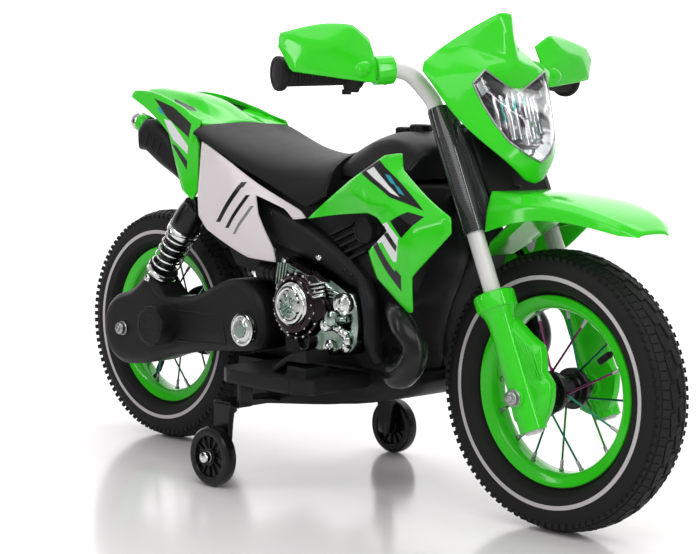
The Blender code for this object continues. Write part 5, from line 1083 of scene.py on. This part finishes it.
def build_engine():
    middle = engine_point(0.362, 0.2278)
    disc = lathe("clutch", "0 0, 40.5 0, 41.2 1, 41.2 5, 40 6.2, 36.8 6.6, 36.2 9.8, 34.6 12.2, 31.2 13.4, "
        "25.5 13.8, 0 13.8", middle, -SIDE, 64)
    can = lathe("can", "0 0, 16 0, 16.6 1, 16 8.6, 14.6 9.8, 0 10", engine_point(0.4, 0.229), -SIDE, 40)
    pair([disc, can], "clutch_drum", "dark_chrome", "frame")
    ring_at = engine_point(0.3636, 0.2302)
    ring = lathe("ring", "0 13, 26.6 13, 26.8 15.8, 25.8 17.2, 24.6 17.8, 24 20, 22.8 20.9, 20.6 20.9, "
        "19.6 20, 18.4 19.9, 17.6 20.7, 0 20.9", ring_at, -SIDE, 64)
    bolt = lathe("bolt", "0 0, 1.8 0, 1.8 1.4, 1.2 1.9, 0 1.9",
        engine_point(0.362 + 0.0386, 0.2278, 0.0062), -SIDE, 12)
    bolts = ringed(bolt, middle, SIDE, 18, radians(8.0))
    rim_bolt = lathe("bolt", "0 0, 1.3 0, 1.3 1.2, 0.8 1.6, 0 1.6",
        engine_point(0.362 + 0.0332, 0.2278, 0.012), -SIDE, 12)
    bolts += ringed(rim_bolt, middle, SIDE, 13, radians(20.0))
    fins = [bar("fin", engine_point(0.386, 0.24 + 0.005 * k, 0.0085),
        engine_point(0.413, 0.2462 + 0.005 * k, 0.0085), (0.0026, 0.0014, 0.0014, 0.0012)[k], 12, 0.0005)
        for k in range(4)]
    pair([ring] + bolts + fins, "clutch_ring", "chrome", "frame")
    crown = engine_point(0.365, 0.23, 0.0209)
    domes = []
    for x, z, radius in ((0.002, -0.0062, 0.006), (-0.005, 0.007, 0.0052), (0.0068, 0.006, 0.004),
            (-0.009, -0.003, 0.0036)):
        profile = [(radius, -0.0004), (radius, 0.0006), (radius * 0.8, 0.0012), (radius * 0.35, 0.0013),
            (0.0, 0.0009)]
        domes.append(lathe("dome", profile, crown + Vector((x, 0.0, z)), -SIDE, 28))
    arms = [bar("arm", crown, crown + Vector((math.cos(angle), 0.0, math.sin(angle))) * 0.015, 0.0013, 10,
        0.0004) for angle in (0.5, 1.6, 2.7, 3.8, 5.5)]
    pair(domes + arms, "clutch_face", "engine", "frame")
    # Painted shade: black discs on the clutch face stand in for its holes, which are dark because they lie
    # in shade
    spots = drawn("-15.5 4 1.7, -9 12 1.3, 13 13 1.5, 16 5 1.7, 15 -8 1.3, -15.5 -6 1.3, -1 -8.2 1.1, "
        "5 -8.2 1.1, -3 17 1.1, 9 -15 1.1, -9 -14 1.1")
    shaded_hole_discs = []
    for x, z, radius in spots:
        depth = 0.0014 if abs(z + 0.0082) < 0.001 else 0.0004
        shaded_hole_discs.append(bar("hole", crown + Vector((x, 0.0004, z)), crown + Vector((x, -depth, z)), radius,
            12))
    pair(shaded_hole_discs, "clutch_holes", "black_gloss", "frame")
    boss = lathe("round_boss", "0 0, 13.6 0, 14.2 1.4, 14 6.2, 13 7.8, 9.2 8.4, 8.2 7.6, 6 9, 0 9.2",
        engine_point(0.441, 0.2375), -SIDE, 40)
    pipe_points = drawn("430 210, 440 206.5, 449.5 200, 450 191, 443 184")
    pipe = chain("pipe", [engine_point(*point, 0.004) for point in pipe_points], 0.0064, 20, 0.0018)
    flange = lathe("flange", "0 0, 8.6 0, 9.2 1, 8.6 4.4, 6.2 5.2, 0 5.2", engine_point(0.4175, 0.1842),
        -SIDE, 36)
    pair([boss, flange] + pipe, "engine_bends", "chrome", "frame")
    cap = lathe("ignition_cap", "0 0, 6 0, 6.2 10, 9.2 10.8, 9.6 12.4, 9.2 15, 8 15.8, 0 16",
        engine_point(0.43, 0.22), -SIDE, 40)
    link = bar("link", engine_point(0.432, 0.219, 0.007), engine_point(0.45, 0.2205, 0.005), 0.0042, 20,
        0.001)
    plates = [brick("plate", engine_point(0.323 + 0.0052 * k, 0.264 + 0.001 * k, 0.0012),
        (0.0018, 0.005, 0.027 - 0.0015 * k), (0.0, 9.0, 0.0), edge=0.0004) for k in range(4)]
    plates.append(brick("plate", engine_point(0.338, 0.28, 0.0015), (0.013, 0.006, 0.005), (0.0, 12.0, 0.0),
        edge=0.0008))
    plates.append(brick("plate", engine_point(0.368, 0.269, 0.0012), (0.024, 0.005, 0.013),
        (0.0, 14.0, 0.0), edge=0.001))
    plates += [brick("plate", engine_point(0.349, 0.275 - 0.0034 * k, 0.002), (0.009, 0.005, 0.0016),
        (0.0, 14.0, 0.0), edge=0.0004) for k in range(3)]
    plates += [brick("plate", engine_point(0.423, 0.244 + 0.004 * k, 0.0014), (0.015, 0.004, 0.0014),
        edge=0.0004) for k in range(3)]
    plates.append(brick("plate", engine_point(0.43, 0.254, 0.001), (0.04, 0.004, 0.007), (0.0, 24.0, 0.0),
        edge=0.001))
    pair([cap, link] + plates, "engine_fittings", "engine", "frame")
    for number, (x, z, out, size) in enumerate(((0.418, 0.211, 0.0084, 0.008),
            (0.4175, 0.1842, 0.005, 0.005), (0.444, 0.24, 0.0086, 0.003), (0.393, 0.234, 0.0098, 0.003),
            (0.396, 0.223, 0.0098, 0.0022), (0.338, 0.28, 0.004, 0.0024))):
        tag = "engine_screw_%d" % number
        pair(screw(engine_point(x, z, out), -SIDE, size), tag, "chrome", "frame")
    round_pair("engine_port", "black_gloss", "frame", "0 0, 12.4 0, 12.8 1, 12.4 6.2, 11.2 7, 9.8 6.4, "
        "9.2 1, 0 0.8", engine_point(0.376, 0.187), -SIDE, 40)


def build_small_wheels():
    centre = Vector((0.274, -0.159, 0.037))
    half = drawn("7.2 8.6, 10.2 8.6, 11 8, 11.4 4, 24.6 3.6, 25.4 7.2, 26.6 8.4, 30 9, 33.8 8.4, 36.1 6.2, "
        "37 2")
    ribs = ringed(brick("rib", centre + Vector((0.018, 0.0, 0.0)), (0.014, 0.0132, 0.0013), edge=0.0003),
        centre, SIDE, 12)
    wheel = joined("small_wheel", [lathe("small_wheel", there_and_back(half), centre, SIDE, 64)] + ribs)
    pair(smooth(wheel, 30.0), "small_wheel", "black_gloss", "training_wheel", "training_wheel")
    round_pair("bearing", "steel", "training_wheel", "4.4 8, 7 8, 7.2 8.8, 6.8 9.4, 5 9.4, 4.4 8.8, 4.4 8",
        centre, -SIDE, 36)
    pair(screw((0.274, -0.1721, 0.037), -SIDE, 0.0071), "trainer_screw", "chrome", "frame")


def build_mufflers():
    start, end = Vector((-0.004, -0.043, 0.43)), Vector((-0.034, -0.043, 0.44))
    way = (end - start).normalized()
    round_pair("muffler_collar", "green", "frame", "10 6, 12.8 6, 13.4 7.2, 13.4 21, 12.8 22.2, 10 22.2, "
        "10 6", start, way, 40)
    round_pair("muffler_outlet", "chrome", "frame", "9.2 21, 12.6 21, 13.2 23, 13.2 30, 12.4 31.6, 10.4 31, "
        "9.8 28, 9.2 21", start, way, 40)
    slots = [brick("slot", Vector((0.018 + 0.013 * k, -0.066, 0.415 - 0.005 * k)), (0.004, 0.0016, 0.02),
        (0.0, 24.0, 0.0), edge=0.0006) for k in range(3)]
    pair(slots, "muffler_slots", "black_gloss", "frame")


def build_trim():
    for number, (x, z, radius) in enumerate(((0.435, 0.436, 0.0112), (0.461, 0.44, 0.0132))):
        base = Vector((x, 0.0, z - 0.002))
        knurl = ringed(brick("knurl", base + Vector((radius, 0.0, 0.0062)), (0.0012, 0.0014, 0.007),
            edge=0.0002), base, Vector((0.0, 0.0, 1.0)), 20)
        cap = lathe("cap", [(0.0, 0.0), (radius + 0.0016, 0.0), (radius + 0.0016, 0.0022), (radius, 0.0026),
            (radius, 0.01), (radius - 0.0014, 0.0114), (radius * 0.55, 0.0116), (radius * 0.5, 0.0108),
            (0.0, 0.0108)], base, (0.0, 0.0, 1.0), 48)
        finish_piece(joined("tank_cap_%d" % number, [cap] + knurl), "black_gloss", "frame")
    for number, (x, z, size) in enumerate(((0.377, 0.286, 0.0046), (0.422, 0.275, 0.003),
            (0.433, 0.271, 0.003), (0.29, 0.333, 0.0036))):
        tag = "beam_screw_%d" % number
        pair(screw((x, -0.0838, z), -SIDE, size), tag, "black_gloss" if number else "chrome", "frame")
    round_pair("disc_cap", "black", "frame", "0 0, 15 0, 15.6 1, 15.6 2.4, 14.4 3.6, 12.4 3.6, 11.8 2.6, "
        "0 2.6", (0.4501, -0.0806, 0.3242), -SIDE, 48)
    boards = [brick("tread", (0.37, -0.08 - 0.0048 * k, 0.1529), (0.09, 0.0016, 0.0012), edge=0.0003)
        for k in range(7)]
    pair(boards, "board_treads", "black", "frame")
    pair(screw((0.172, -0.0935, 0.33), -SIDE, 0.003), "panel_screw", "white_tube", "frame")


# All of it

def main():
    set_stage()
    set_camera()
    make_finishes()
    build_wheels()
    build_fork()
    build_shocks()
    build_swingarm()
    build_body()


main()
